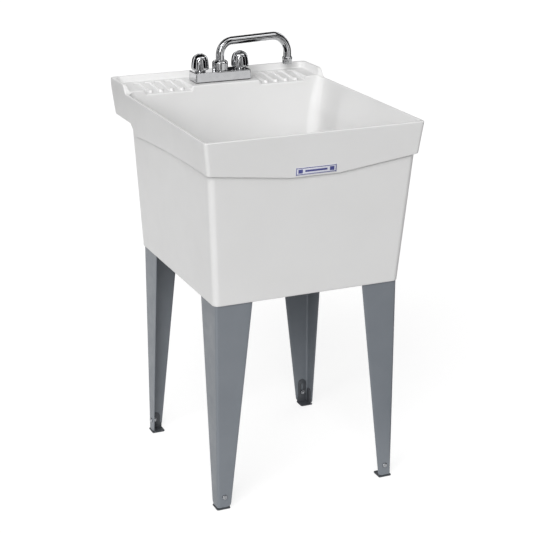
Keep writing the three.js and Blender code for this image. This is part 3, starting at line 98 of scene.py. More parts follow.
class Graph:
    """The node tree of a material or a world."""

    def __init__(self, owner):
        owner.use_nodes = True
        self.tree = owner.node_tree
        self.tree.nodes.clear()

    def add(self, kind, inputs=(), **settings):
        node = self.tree.nodes.new(kind)
        for key, value in settings.items():
            setattr(node, key, value)
        for key, value in dict(inputs).items():
            self.put(node, key, value)
        return node

    def put(self, node, key, value):
        """Links a socket or sets a value. A colour is given as red, green and blue."""
        socket = node.inputs[key]
        if isinstance(value, bpy.types.NodeSocket):
            self.tree.links.new(value, socket)
        else:
            socket.default_value = (*value, 1.0) if socket.type == "RGBA" else value

    def math(self, operation, a, b=0.0):
        return self.add("ShaderNodeMath", {0: a, 1: b}, operation=operation).outputs[0]

    def noise(self, where, scale, detail=2.0, roughness=0.5):
        inputs = {"Vector": where, "Scale": scale, "Detail": detail, "Roughness": roughness}
        return self.add("ShaderNodeTexNoise", inputs).outputs["Fac"]

    def ramp(self, factor, low, high, from_low=0.0, from_high=1.0):
        inputs = {"Value": factor, "From Min": from_low, "From Max": from_high, "To Min": low, "To Max": high}
        return self.add("ShaderNodeMapRange", inputs).outputs["Result"]

    def mix(self, factor, a, b):
        node = self.add("ShaderNodeMix", data_type="RGBA")
        for place, value in ((0, factor), (6, a), (7, b)):
            self.put(node, place, value)
        return node.outputs[2]

    def clouded(self, noise, base, tint):
        """A colour with clouds of another."""
        return self.mix(self.ramp(noise, 0.0, 1.0, 0.35, 0.65), base, tint)

    def uneven(self, noise, middle, spread):
        """A roughness that wanders to both sides of its middle."""
        return self.ramp(noise, middle - spread, middle + spread, 0.3, 0.7)

    def bump(self, height, strength, distance):
        inputs = {"Strength": strength, "Distance": distance, "Height": height}
        return self.add("ShaderNodeBump", inputs).outputs[0]

    def rays(self, *kinds):
        """1 where the ray is of one of these kinds."""
        path = self.add("ShaderNodeLightPath").outputs
        seen = path[kinds[0]]
        for kind in kinds[1:]:
            seen = self.math("MAXIMUM", seen, path[kind])
        return seen

    def surface(self, shader, output="ShaderNodeOutputMaterial"):
        self.put(self.add(output), "Surface", shader.outputs[0])


FINISHES = {}


def new_finish(name):
    """The graph of a new finish, and the socket that gives the place of a point on the sink."""
    FINISHES[name] = bpy.data.materials.new(name)
    g = Graph(FINISHES[name])
    return g, g.add("ShaderNodeTexCoord").outputs["Object"]


def moulded_plastic(name, base, tint, roughness, spread, peel):
    """Satin moulded plastic: faint mottling, uneven gloss and a fine orange peel."""
    g, where = new_finish(name)
    fine = g.noise(where, 900.0, 3.0)
    broad = g.noise(where, 60.0, 2.0)
    height = g.math("ADD", fine, g.math("MULTIPLY", broad, 2.5))
    g.surface(g.add("ShaderNodeBsdfPrincipled", {
        "Base Color": g.clouded(g.noise(where, 5.5, 4.0), base, tint),
        "Roughness": g.uneven(g.noise(where, 26.0, 5.0, 0.6), roughness, spread),
        "Normal": g.bump(height, peel, 0.0004),
        "IOR": 1.49,
    }))


def printed_film(name, pale, paler, ink_colour):
    """Pale film with a plain frame, two blocks and a rule, over a fine print grain."""
    g, where = new_finish(name)
    axes = g.add("ShaderNodeSeparateXYZ", {0: where}).outputs
    from_low = g.math("SUBTRACT", axes["Z"], LABEL_LOW_Z * MM)
    up = g.math("DIVIDE", from_low, LABEL_HIGH * MM * LABEL_RISE)
    # 0 in the middle of the label, 1 at its ends and 0.5 at its long edges.
    reach = g.math("ABSOLUTE", g.math("MULTIPLY", axes["X"], 1000.0 / LABEL_HALF))
    rise = g.math("ABSOLUTE", g.math("SUBTRACT", up, 0.5))

    def band(value, low, high):
        return g.math("MULTIPLY", g.math("GREATER_THAN", value, low), g.math("LESS_THAN", value, high))

    frame_line = g.math("MAXIMUM", band(reach, 0.945, 0.985), band(rise, 0.355, 0.45))
    blocks = g.math("MULTIPLY", band(reach, 0.66, 0.88), band(rise, -1.0, 0.26))
    rule = g.math("MULTIPLY", band(reach, -1.0, 0.54), band(rise, -1.0, 0.13))
    ink = g.math("MAXIMUM", g.math("MAXIMUM", frame_line, blocks), rule)
    ink = g.math("MULTIPLY", ink, band(reach, -1.0, 0.985))
    ink = g.math("MULTIPLY", ink, g.ramp(g.noise(where, 2600.0, 2.0), 0.82, 1.0, 0.3, 0.6))
    film = g.mix(g.noise(where, 90.0, 3.0), pale, paler)
    g.surface(g.add("ShaderNodeBsdfPrincipled", {
        "Base Color": g.mix(ink, film, ink_colour),
        "Roughness": g.uneven(g.noise(where, 60.0, 3.0), 0.3, 0.06),
        "IOR": 1.49,
    }))


def painted_metal(name, base, shade, roughness, spread, peel):
    """Powder coat over sheet steel."""
    g, where = new_finish(name)
    g.surface(g.add("ShaderNodeBsdfPrincipled", {
        "Base Color": g.clouded(g.noise(where, 9.0, 5.0, 0.6), base, shade),
        "Roughness": g.uneven(g.noise(where, 40.0, 4.0, 0.6), roughness, spread),
        "Normal": g.bump(g.noise(where, 1400.0, 2.0), peel, 0.0003),
        "Coat Weight": 0.15,
        "Coat Roughness": 0.3,
    }))


def metal(name, base, shade, roughness, spread, wave):
    """Bare or plated metal: smears in the gloss, a little waviness."""
    g, where = new_finish(name)
    g.surface(g.add("ShaderNodeBsdfPrincipled", {
        "Base Color": g.clouded(g.noise(where, 70.0, 4.0, 0.6), base, shade),
        "Metallic": 1.0,
        "Roughness": g.uneven(g.noise(where, 160.0, 5.0, 0.65), roughness, spread),
        "Normal": g.bump(g.noise(where, 240.0, 2.0), wave, 0.0002),
    }))


# Name, colour, the colour of its clouds, roughness, its spread and the strength of the relief.
moulded_plastic("white_plastic", (0.705, 0.703, 0.70), (0.725, 0.724, 0.722), 0.36, 0.06, 0.12)
painted_metal("grey_paint", (0.164, 0.181, 0.203), (0.178, 0.195, 0.217), 0.44, 0.07, 0.2)
painted_metal("dark_paint", (0.05, 0.055, 0.062), (0.065, 0.07, 0.08), 0.5, 0.1, 0.25)
metal("chrome", (0.6, 0.605, 0.618), (0.55, 0.555, 0.567), 0.055, 0.025, 0.03)
metal("zinc", (0.42, 0.43, 0.45), (0.26, 0.27, 0.285), 0.28, 0.1, 0.15)
metal("brass", (0.62, 0.46, 0.21), (0.5, 0.36, 0.16), 0.28, 0.08, 0.1)
metal("steel", (0.58, 0.58, 0.58), (0.5, 0.5, 0.5), 0.22, 0.06, 0.08)
moulded_plastic("rubber", (0.028, 0.028, 0.03), (0.04, 0.04, 0.042), 0.65, 0.1, 0.4)
moulded_plastic("nylon", (0.33, 0.34, 0.35), (0.38, 0.39, 0.4), 0.5, 0.08, 0.2)
# Name, the film's two colours and the ink's.
printed_film("label_film", (0.66, 0.67, 0.74), (0.7, 0.71, 0.78), (0.035, 0.04, 0.22))

for part in frame["record"]["subparts"]:
    node = frame["nodes"][part["node"]]
    node.data.materials.clear()
    node.data.materials.append(FINISHES[part["material_slot"]])

# ---- making pieces


def dress(name, mesh, finish, body, nodes=(), sharp=38.0):
    """A piece from a finished mesh in metres, which rides on a body and stands for CAD nodes."""
    mesh.name = name
    mesh.materials.clear()
    mesh.materials.append(FINISHES[finish])
    mesh.shade_smooth()
    mesh.set_sharp_from_angle(angle=math.radians(sharp))
    thing = added(name, mesh)
    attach(thing, body)
    if nodes:
        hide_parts(*nodes)
    return thing


def piece(name, points, faces, finish, body, nodes=(), sharp=38.0):
    """A piece from points in millimetres."""
    mesh = bpy.data.meshes.new(name)
    mesh.from_pydata((np.asarray(points, float) * MM).tolist(), [], faces)
    mesh.update()
    return dress(name, mesh, finish, body, nodes, sharp)


def placed(points, matrix):
    """Points in millimetres moved by a matrix in metres."""
    turn = np.array(matrix)
    return (np.asarray(points, float) * MM @ turn[:3, :3].T + turn[:3, 3]) / MM


def facing_out(points, faces):
    """The faces, turned round where the closed surface would face in."""
    fans = [(face[0], second, third) for face in faces for second, third in zip(face[1:], face[2:])]
    a, b, c = np.asarray(points, float)[np.array(fans)].transpose(1, 0, 2)
    volume = np.einsum("ij,ij->i", a, np.cross(b, c)).sum()
    return faces if volume > 0 else [tuple(reversed(face)) for face in faces]


def solid(name, made, finish, body, nodes=(), move=(0, 0, 0), place=None, sharp=38.0):
    """A closed piece from points and faces, moved in millimetres and then placed by a matrix."""
    points, faces = made
    points = points + np.array(move, float)
    if place is not None:
        points = placed(points, place)
    return piece(name, points, facing_out(points, faces), finish, body, nodes, sharp)


def lerp(a, b, share):
    return a + (b - a) * share


def quarter(steps):
    """Sine and cosine of each step of a quarter turn."""
    angles = [step / steps * math.pi / 2 for step in range(steps + 1)]
    return [(math.sin(angle), math.cos(angle)) for angle in angles]


def smooth_step(share):
    share = np.clip(share, 0.0, 1.0)
    return share * share * (3.0 - 2.0 * share)


def between(value, low, high, ease):
    """1 between two bounds, with an eased step inside each."""
    return smooth_step((value - low) / ease) * smooth_step((high - value) / ease)


def smooth_min(a, b, reach):
    near = np.maximum(reach - np.abs(a - b), 0.0) / reach
    return np.minimum(a, b) - near * near * reach / 4.0


def smooth_max(a, b, reach):
    return -smooth_min(-a, -b, reach)


def ring_faces(row_count, column_count, closed):
    """Quads between rows of a ring, and from the last row to the first where the surface is closed."""
    faces = []
    for row_index in range(row_count if closed else row_count - 1):
        low = row_index * column_count
        high = ((row_index + 1) % row_count) * column_count
        for column in range(column_count):
            beside = (column + 1) % column_count
            faces.append((low + column, low + beside, high + beside, high + column))
    return faces


# ---- tub: heights, drafts and plan sizes

RIM_Z = 855.0
LIP_Z = 875.0
DECK_Z = 860.0
DECK_LOW_Z = 787.0  # lower edge of the deck's walls
BEND_Z = 783.0  # lower edge of the apron at the corners, where the basin's walls bend
SIDE_LOW_Z = 761.5  # lowest edge of the apron's sides
FLOOR_EDGE_Z = 510.0
FLOOR_Z = 503.0
UNDER_Z = 502.0  # underside of the floor, inside the skirt
RECESS_Z = 500.1  # seat of the strainer's flange
BOSS_Z = 495.0  # lower end of the boss round the drain
SKIRT_Z = 485.0

HALF_X = 254.0
HALF_Y = 311.0
POINT_HALF = 57.0  # half the straight stretch below the label
SIDE_END_Y = 164.0  # where the side's lower edge turns up to the deck
DECK_FRONT_Y = 199.5
BODY_BACK_Y = 203.0
HOLLOW_Y = 205.0  # where the hollow below the deck starts
DRAIN_Y = -35.0

WALL = 5.0
DECK_SHEET = 5.5
EDGE_R = 2.2
DECK_EDGE_R = 3.0
APRON_EDGE_R = 1.2
SKIRT_EDGE_R = 1.5
APRON_CORNER_R = 8.0
BODY_CORNER_R = 14.0
FLOOR_CORNER_R = 42.0
RIM_FRONT_CORNER_R = 13.0
RIM_BACK_CORNER_R = 20.0
COVE_R = 30.0  # between the basin's floor and walls
BEND_EASE = 14.0  # the basin's walls bend over this much to both sides of BEND_Z
BORE_R = 22.6
RECESS_R = 32.6
RECESS_LIP_R = 33.2
FLOOR_START_R = 33.4
BOSS_R = 36.0

# Sideways for each millimetre of height.
APRON_SIDE_DRAFT = 0.122
APRON_FRONT_DRAFT = 0.108
DECK_BACK_DRAFT = 0.05
BODY_SIDE_DRAFT = 0.064
BODY_FRONT_DRAFT = 0.091
BASIN_BACK_DRAFT = 0.014
BASIN_SIDE_FLARE = 0.1136  # added to the body's draft above the bend
BASIN_FRONT_FLARE = 0.0726
APRON_SIDE_CURVE = 2.2  # power of the curve of the side's lower edge

BEND_X = HALF_X - (RIM_Z - BEND_Z) * APRON_SIDE_DRAFT
BEND_FRONT_Y = -HALF_Y + (RIM_Z - BEND_Z) * APRON_FRONT_DRAFT

# The deck: the lip's sweep, the pocket inside it, and the soap trays' grooves and ribs.
SWEEP_Y = 192.0
SWEEP = 25.0
POCKET_X = 229.0  # centre of the pocket's round corner
POCKET_Y = 286.0
POCKET_R = 12.0
LIP_SLOPE = 2.727
POCKET_EASE = 3.0
SWEEP_EASE = 2.5
GROOVE_PITCH = 26.0
GROOVE_X = [94.7 + GROOVE_PITCH * k for k in range(5)]
GROOVE_HALF = 9.5
GROOVE_FLAT = 7.2
GROOVE_WALL = GROOVE_HALF - GROOVE_FLAT
GROOVE_END_Y = 279.75
GROOVE_DEPTH = (2.6, 11.0)  # at the back and at the front
GROOVES_X = (GROOVE_X[0] - GROOVE_HALF, GROOVE_X[-1] + GROOVE_HALF)
TRAY_MARGIN = 9.25
TRAY_X = (GROOVE_X[0] - TRAY_MARGIN, GROOVE_X[-1] + TRAY_MARGIN)
TRAY_BACK_Y = 289.0
TRAY_EASE = 2.4
TRAY_BACK_EASE = 3.0
RIB_DROP = (0.4, 5.0)  # at the back and at the front
RIB_X = [x + GROOVE_PITCH / 2 for x in GROOVE_X[:-1]]
RIB_END_Y = 215.25  # centre of the ribs' round front ends
RIB_END_R = 3.5
TRAYS_FROM_Y = 150.0  # nothing is sunk in front of this


def apron_x(z):
    return HALF_X - np.maximum(RIM_Z - z, 0.0) * APRON_SIDE_DRAFT


def apron_front(z):
    return -HALF_Y + np.maximum(RIM_Z - z, 0.0) * APRON_FRONT_DRAFT


def deck_back(z):
    return HALF_Y - np.maximum(LIP_Z - z, 0.0) * DECK_BACK_DRAFT


def body_x(z):
    return BEND_X - WALL - (BEND_Z - z) * BODY_SIDE_DRAFT


def body_front(z):
    return BEND_FRONT_Y + WALL + (BEND_Z - z) * BODY_FRONT_DRAFT


def bend(z):
    """How far a height is above the bend of the basin's walls, eased over the bend."""
    over = z - BEND_Z
    eased_over = (over + BEND_EASE) ** 2 / (4.0 * BEND_EASE)
    return np.where(over <= -BEND_EASE, 0.0, np.where(over >= BEND_EASE, over, eased_over))


def basin_x(z):
    return BEND_X - 2 * WALL + BODY_SIDE_DRAFT * (z - BEND_Z) + BASIN_SIDE_FLARE * bend(z)


def basin_front(z):
    return BEND_FRONT_Y + 2 * WALL - BODY_FRONT_DRAFT * (z - BEND_Z) - BASIN_FRONT_FLARE * bend(z)


def basin_back(z):
    return DECK_FRONT_Y - (DECK_Z - z) * BASIN_BACK_DRAFT


def tray_sink(x, y):
    """How far the soap trays are sunk below the platform, with their grooves and ribs."""
    share = np.clip((TRAY_BACK_Y - y) / (TRAY_BACK_Y - DECK_FRONT_Y), 0.0, 1.1)
    inside = between(x, TRAY_X[0] - TRAY_EASE / 2, TRAY_X[1] + TRAY_EASE / 2, TRAY_EASE)
    inside = inside * smooth_step((TRAY_BACK_Y + TRAY_BACK_EASE / 2 - y) / TRAY_BACK_EASE)
    sink = inside * lerp(RIB_DROP[0], RIB_DROP[1], share)
    depth = lerp(GROOVE_DEPTH[0], GROOVE_DEPTH[1], share)
    for centre in GROOVE_X:
        off = np.abs(x - centre)
        off = np.where(y > GROOVE_END_Y, np.hypot(off, y - GROOVE_END_Y), off)
        sink = np.maximum(sink, depth * (1.0 - smooth_step((off - GROOVE_FLAT) / GROOVE_WALL)))
    # In front of the ribs' round ends the grooves are joined.
    rib = 0.0 * x
    for centre in RIB_X:
        off = np.hypot(x - centre, y - RIB_END_Y)
        rib = np.maximum(rib, 1.0 - smooth_step((off - RIB_END_R) / GROOVE_WALL))
    joined = depth * between(x, *GROOVES_X, GROOVE_WALL) * (1.0 - rib)
    return np.maximum(sink, np.where(y < RIB_END_Y, joined, 0.0))


def deck_height(x, y):
    """Top of the moulding: the rim, the lip that sweeps up from it, the platform and the soap trays."""
    x = np.abs(x)
    swept = (1.0 - np.cos(np.pi * np.clip((y - SWEEP_Y) / SWEEP, 0.0, 1.0))) / 2.0
    sweep = RIM_Z + (LIP_Z - RIM_Z) * swept
    side = x - POCKET_X
    back = y - POCKET_Y
    away = np.where((side > 0) & (back > 0), np.hypot(side, back), np.maximum(side, back)) - POCKET_R
    pocket = smooth_max(DECK_Z + 0.0 * x, DECK_Z + LIP_SLOPE * away, POCKET_EASE)
    top = smooth_min(pocket, sweep, SWEEP_EASE)
    return top - np.where(y > TRAYS_FROM_Y, tray_sink(x, y), 0.0)


def under_deck(x, y):
    """The ceiling of the hollow below the deck."""
    return np.minimum(deck_height(x, y), DECK_Z) - DECK_SHEET


# ---- tub: columns of its mesh

BACK_END_X = 215.0  # last column of the back
SIDE_BACK_Y = 172.0  # first and last column of the side
SIDE_FRONT_Y = -290.0
FRONT_END_X = 232.0  # first column of the front
FAN = 96  # columns round each back corner
CORNER = 14  # columns round each front corner


def tub_columns():
    """The right half's columns, from the middle of the back to the middle of the front."""
    pitch = [-13, -11.6, -10.6, -10, -9.6, -9.3, -9, -8.7, -8.4, -8.1, -7.8, -7.5, -7.2, -6.8, -6, -4, -2]
    across = list(np.arange(0.0, 79.0, 6.0)) + [79.5]
    for centre in GROOVE_X:
        across += [centre + off for off in pitch] + [centre] + [centre - off for off in reversed(pitch[1:])]
    across = [x for x in across if x <= BACK_END_X - 2.5] + [BACK_END_X]
    columns = [("back", x) for x in sorted(set(np.round(across, 3)))]
    columns += [("fan", (k + 1) / (FAN + 1)) for k in range(FAN)]
    side = list(np.arange(SIDE_BACK_Y, 160.0, -1.5)) + list(np.arange(158.0, SIDE_FRONT_Y, -12.0))
    columns += [("side", y) for y in sorted(set(side + [-286.0, SIDE_FRONT_Y]), reverse=True)]
    columns += [("corner", (k + 1) / (CORNER + 1)) for k in range(CORNER)]
    front = [FRONT_END_X, 228.0, 220.0] + list(np.arange(208.0, 62.0, -12.0)) + [61.0, 59.0, 57.0, 55.0, 53.0]
    front += list(np.arange(46.0, 0.0, -9.0)) + [0.0]
    columns += [("front", x) for x in sorted(set(front), reverse=True)]
    return columns


COLUMNS = tub_columns()
COUNT = len(COLUMNS)
KIND = np.array([kind for kind, _ in COLUMNS])
PLACE = np.array([place for _, place in COLUMNS], float)
IS_BACK = (KIND == "back") | (KIND == "fan")


def along(share, lead, radius, tail):
    """A point on a straight lead, a quarter turn and a straight tail, by its share of their length."""
    turn = radius * np.pi / 2.0
    walked = share * (lead + turn + tail)
    angle = np.clip((walked - lead) / np.maximum(radius, 1e-6), 0.0, np.pi / 2.0)
    first = np.minimum(walked, lead) + radius * np.sin(angle)
    second = radius * (1.0 - np.cos(angle)) + np.maximum(walked - lead - turn, 0.0)
    return first, second


def plan(x1, y0, y1, rf, rb, xb, ys, yf, xf):
    """Where each column crosses a rounded rectangle. Every size may differ from column to column.

    x1, y0 and y1 are its sides, rf and rb its front and back radius, and the rest the ends of the
    straight columns: xb on the back, ys and yf on the side, xf on the front.
    """
    x1, y0, y1, rf, rb, xb, ys, yf, xf = (np.broadcast_to(np.asarray(v, float), (COUNT,))
                                          for v in (x1, y0, y1, rf, rb, xb, ys, yf, xf))
    x = np.zeros(COUNT)
    y = np.zeros(COUNT)
    pick = KIND == "back"
    x[pick] = (PLACE * xb / BACK_END_X)[pick]
    y[pick] = y1[pick]
    pick = KIND == "fan"
    first, second = along(PLACE, x1 - rb - xb, rb, y1 - rb - ys)
    x[pick] = (xb + first)[pick]
    y[pick] = (y1 - second)[pick]
    pick = KIND == "side"
    x[pick] = x1[pick]
    y[pick] = lerp(yf, ys, (PLACE - SIDE_FRONT_Y) / (SIDE_BACK_Y - SIDE_FRONT_Y))[pick]
    pick = KIND == "corner"
    first, second = along(PLACE, yf - y0 - rf, rf, x1 - rf - xf)
    x[pick] = (x1 - second)[pick]
    y[pick] = (yf - first)[pick]
    pick = KIND == "front"
    x[pick] = (PLACE * xf / FRONT_END_X)[pick]
    y[pick] = y0[pick]
    return x, y


def outer_ring(z, inset=0.0):
    radius = APRON_CORNER_R - inset
    return plan(apron_x(z) - inset, apron_front(z) + inset, deck_back(z) - inset, radius, radius,
                BACK_END_X, SIDE_BACK_Y, SIDE_FRONT_Y, FRONT_END_X)


def body_ring(z, inset=0.0):
    x1 = body_x(z) - inset
    y0 = body_front(z) + inset
    y1 = BODY_BACK_Y - inset
    radius = BODY_CORNER_R - inset
    return plan(x1, y0, y1, radius, radius,
                (x1 - radius) * 0.975, y1 - radius - 2.0, y0 + radius + 2.0, x1 - radius - 2.0)


def basin_ring(z, inset=0.0):
    z = np.asarray(z, float)
    share = np.clip((z - FLOOR_Z) / (RIM_Z - FLOOR_Z), 0.0, 1.0)
    rf, rb = (np.maximum(lerp(FLOOR_CORNER_R, rim_r, share) - np.maximum(inset, 0.0), 2.0)
              for rim_r in (RIM_FRONT_CORNER_R, RIM_BACK_CORNER_R))
    x1 = basin_x(z) - inset
    y0 = basin_front(z) + inset
    y1 = basin_back(z) - inset
    return plan(x1, y0, y1, rf, rb,
                (x1 - rb) * BACK_END_X / 231.0, y1 - rb - 1.5, y0 + rf + 2.0, x1 - rf - 2.0)


# ---- tub: rows of its mesh


def stacked(x, y, z):
    return np.stack([x, y, np.broadcast_to(np.asarray(z, float), (COUNT,))], axis=1)


def row(ring, z, inset=0.0):
    return stacked(*ring(z, inset), z)


def column_spokes():
    """Each column's direction from the drain's axis, and the length of the floor along it."""
    x, y = basin_ring(FLOOR_EDGE_Z, COVE_R)
    reach = np.hypot(x, y - DRAIN_Y)
    return x / reach, (y - DRAIN_Y) / reach, reach


SPOKE_X, SPOKE_Y, SPOKE_REACH = column_spokes()


def circle(radius, z):
    """A row round the drain's axis."""
    return stacked(SPOKE_X * radius, DRAIN_Y + SPOKE_Y * radius, z)


def floor_rows():
    """Up the drain's bore and recess, and over the floor to its cove."""
    lip_z = FLOOR_Z + (FLOOR_EDGE_Z - FLOOR_Z) * RECESS_LIP_R / SPOKE_REACH
    rows = [circle(BORE_R, z) for z in (495.6, 497.0, 499.6)]
    rows += [circle(radius, RECESS_Z) for radius in (23.0, 27.0, 32.0)]
    rows += [circle(RECESS_R, RECESS_Z + 0.4), circle(RECESS_R, lip_z - 0.6)]
    rows += [circle(RECESS_R + 0.3, lip_z - 0.2), circle(FLOOR_START_R, lip_z)]
    for share in (0.01, 0.03, 0.07, 0.13, 0.2, 0.29, 0.38, 0.48, 0.58, 0.68, 0.78, 0.87, 0.94, 0.98):
        rows.append(circle(lerp(FLOOR_START_R, SPOKE_REACH, share), lerp(lip_z, FLOOR_EDGE_Z, share)))
    return rows


WALL_LEVELS = (541.5, 545, 560, 600, 650, 700, 740, 757, 764, 769, 774, 779, 783, 787, 792, 797, 803, 812,
               824)


def wall_rows():
    """Up the basin's cove and walls, and over the edge of the rim, whose height the deck sets."""
    rows = [row(basin_ring, FLOOR_EDGE_Z + COVE_R * (1 - cosine), COVE_R * (1 - sine))
            for sine, cosine in quarter(10)]
    rows += [row(basin_ring, z) for z in WALL_LEVELS]
    edge_r = np.full(COUNT, EDGE_R)
    edge_r[KIND == "back"] = DECK_EDGE_R
    fan = KIND == "fan"
    edge_r[fan] = lerp(DECK_EDGE_R, EDGE_R, smooth_step(PLACE[fan] * 1.6))
    top_x, top_y = basin_ring(RIM_Z, -edge_r)
    for _ in range(2):
        top_z = deck_height(top_x, top_y)
        top_x, top_y = basin_ring(np.maximum(top_z, RIM_Z - 12.0), -edge_r)
    wall_top = top_z - edge_r
    rows += [row(basin_ring, lerp(WALL_LEVELS[-1], wall_top, share)) for share in (0.3, 0.6, 0.85, 0.97)]
    for sine, cosine in quarter(6):
        z = wall_top + edge_r * sine
        rows.append(stacked(*basin_ring(np.minimum(z, DECK_Z), -edge_r * (1 - cosine)), z))
    return rows


def top_rows(inner, outer):
    """Across the top, finest at the back of the grooves and under the lip."""
    start = DECK_FRONT_Y + DECK_EDGE_R
    stops = [[start + 0.35, 203.5, 204.8], np.arange(205.8, 219.5, 0.9), np.arange(221.0, 268.0, 3.0),
             np.arange(268.5, 296.0, 0.9), np.arange(296.5, 308.0, 0.6), [308.3]]
    rows = []
    for stop in np.concatenate(stops):
        x, y = lerp(inner, outer, (stop - start) / (HALF_Y - EDGE_R - start)).T
        rows.append(stacked(x, y, deck_height(x, y)))
    return rows


def apron_low():
    """The height of the apron's or deck's lower edge at each column."""
    x, y = outer_ring(BEND_Z)
    front = BEND_Z - (BEND_Z - POINT_Z) * np.clip((BEND_X - x) / (BEND_X - POINT_HALF), 0.0, 1.0)
    share = np.clip((y + HALF_Y) / (HALF_Y + SIDE_END_Y), 0.0, 1.0)
    side = BEND_Z - (BEND_Z - SIDE_LOW_Z) * share ** APRON_SIDE_CURVE
    rise = np.clip(y - SIDE_END_Y, 0.0, DECK_LOW_Z - SIDE_LOW_Z)
    side = np.where(y > SIDE_END_Y, SIDE_LOW_Z + rise, side)
    low = np.where(KIND == "front", front, side)
    corner = KIND == "corner"
    low[corner] = np.minimum(front, side)[corner]
    low[KIND == "back"] = DECK_LOW_Z
    return low


def apron_rows(outer_z, low):
    """Over the outer edge, down the apron and round its lower edge."""
    rows = []
    for sine, cosine in quarter(6):
        z = outer_z - EDGE_R * (1 - cosine)
        rows.append(stacked(*outer_ring(np.maximum(z, RIM_Z - EDGE_R), EDGE_R * (1 - sine)), z))
    for share in (0.012, 0.06, 0.16, 0.3, 0.45, 0.6, 0.74, 0.86, 0.94, 0.985):
        rows.append(row(outer_ring, lerp(outer_z - EDGE_R, low + APRON_EDGE_R, share)))
    for sine, cosine in quarter(4):
        rows.append(row(outer_ring, low + APRON_EDGE_R * (1 - sine), APRON_EDGE_R * (1 - cosine)))
    return rows


def under_rows(under, outer_x, low):
    """The ledge below the apron, or the walls and ceiling of the hollow below the deck."""
    hollow = IS_BACK & (outer_ring(BEND_Z)[1] > HOLLOW_Y)
    ceiling = under_deck(outer_x, np.full(COUNT, BODY_BACK_Y))
    body_top = np.where(hollow, ceiling, low)
    landing = row(body_ring, body_top)
    inner_low = row(outer_ring, low, WALL)
    inside = [lerp(under, inner_low, share) for share in (0.15, 0.5, 0.85)]
    inside += [row(outer_ring, lerp(low, ceiling, share), WALL) for share in (0.0, 0.03, 0.3, 0.7, 0.97, 1.0)]
    wall_head = inside[-1]
    for share in (0.02, 0.1, 0.25, 0.4, 0.55, 0.7, 0.85, 0.96):
        spot = lerp(wall_head, landing, share)
        spot[:, 2] = under_deck(spot[:, 0], spot[:, 1])
        inside.append(spot)
    rows = []
    for step, spot in enumerate(inside):
        ledge = lerp(under, landing, (step + 1) / (len(inside) + 1))
        rows.append(np.where(hollow[:, None], spot, ledge))
    return rows + [landing], body_top


def skirt_rows(body_top):
    """Down the body, round the skirt's edge, up inside it and over the underside to the drain's boss."""
    rows = [row(body_ring, lerp(body_top, SKIRT_Z + SKIRT_EDGE_R, share))
            for share in (0.006, 0.03, 0.12, 0.3, 0.5, 0.7, 0.86, 0.95, 0.99)]
    for sine, cosine in quarter(4):
        rows.append(row(body_ring, SKIRT_Z + SKIRT_EDGE_R * (1 - sine), SKIRT_EDGE_R * (1 - cosine)))
    for inset, z in ((2.6, SKIRT_Z), (3.0, SKIRT_Z + 0.4), (3.0, 490.0), (3.1, 499.5), (3.6, UNDER_Z - 0.4),
                     (5.0, UNDER_Z)):
        rows.append(stacked(*body_ring(SKIRT_Z, inset), z))
    last = rows[-1]
    boss = circle(BOSS_R + 1.0, UNDER_Z)
    rows += [lerp(last, boss, share) for share in (0.1, 0.3, 0.55, 0.8, 0.95)]
    rows += [boss, circle(BOSS_R + 0.2, UNDER_Z - 0.8), circle(BOSS_R, BOSS_Z + 1.0)]
    rows += [circle(BOSS_R - 0.6, BOSS_Z + 0.2)]
    rows += [circle(radius, BOSS_Z) for radius in (BOSS_R - 1.4, 29.0, BORE_R + 0.6)]
    return rows


def mirrored(rows):
    """The right half's rows with their left half."""
    full = []
    for right in rows:
        left = right[-2:0:-1].copy()
        left[:, 0] *= -1
        full.append(np.concatenate([right, left]))
    return full


def make_tub():
    """The tub's skin in one closed run of rows, from the drain's bore over the rim and back under it."""
    rows = floor_rows() + wall_rows()
    inner = rows[-1][:, :2]
    outer = np.stack(outer_ring(LIP_Z, EDGE_R), axis=1)
    rows += top_rows(inner, outer)
    low = apron_low()
    rows += apron_rows(deck_height(outer[:, 0], outer[:, 1]), low)
    under, body_top = under_rows(rows[-1], outer[:, 0], low)
    rows = mirrored(rows + under + skirt_rows(body_top))
    made = np.concatenate(rows), ring_faces(len(rows), len(rows[0]), True)
    solid("tub_moulding", made, "white_plastic", "stand", ["tub"], sharp=50.0)


make_tub()

# ---- turned, lofted and cut forms


def eased(profile, radius, steps=4):
    """A profile of [radius, height] corners with each corner rounded. Its two ends stay as they are.

    A third number in a corner is its own rounding.
    """
    corners = [np.array(point[:2], float) for point in profile]
    radii = [point[2] if len(point) > 2 else radius for point in profile]
    out = [corners[0]]
    for before, at, after, wanted in zip(corners, corners[1:], corners[2:], radii[1:-1]):
        first, second = before - at, after - at
        first_long, second_long = np.linalg.norm(first), np.linalg.norm(second)
        if -np.dot(first, second) / (first_long * second_long) > 0.97:
            out.append(at)
            continue
        reach = min(wanted, 0.48 * first_long, 0.48 * second_long)
        start = at + first / first_long * reach
        end = at + second / second_long * reach
        for step in range(steps + 1):
            share = step / steps
            out.append(lerp(lerp(start, at, share), lerp(at, end, share), share))
    out.append(corners[-1])
    return np.array(out)


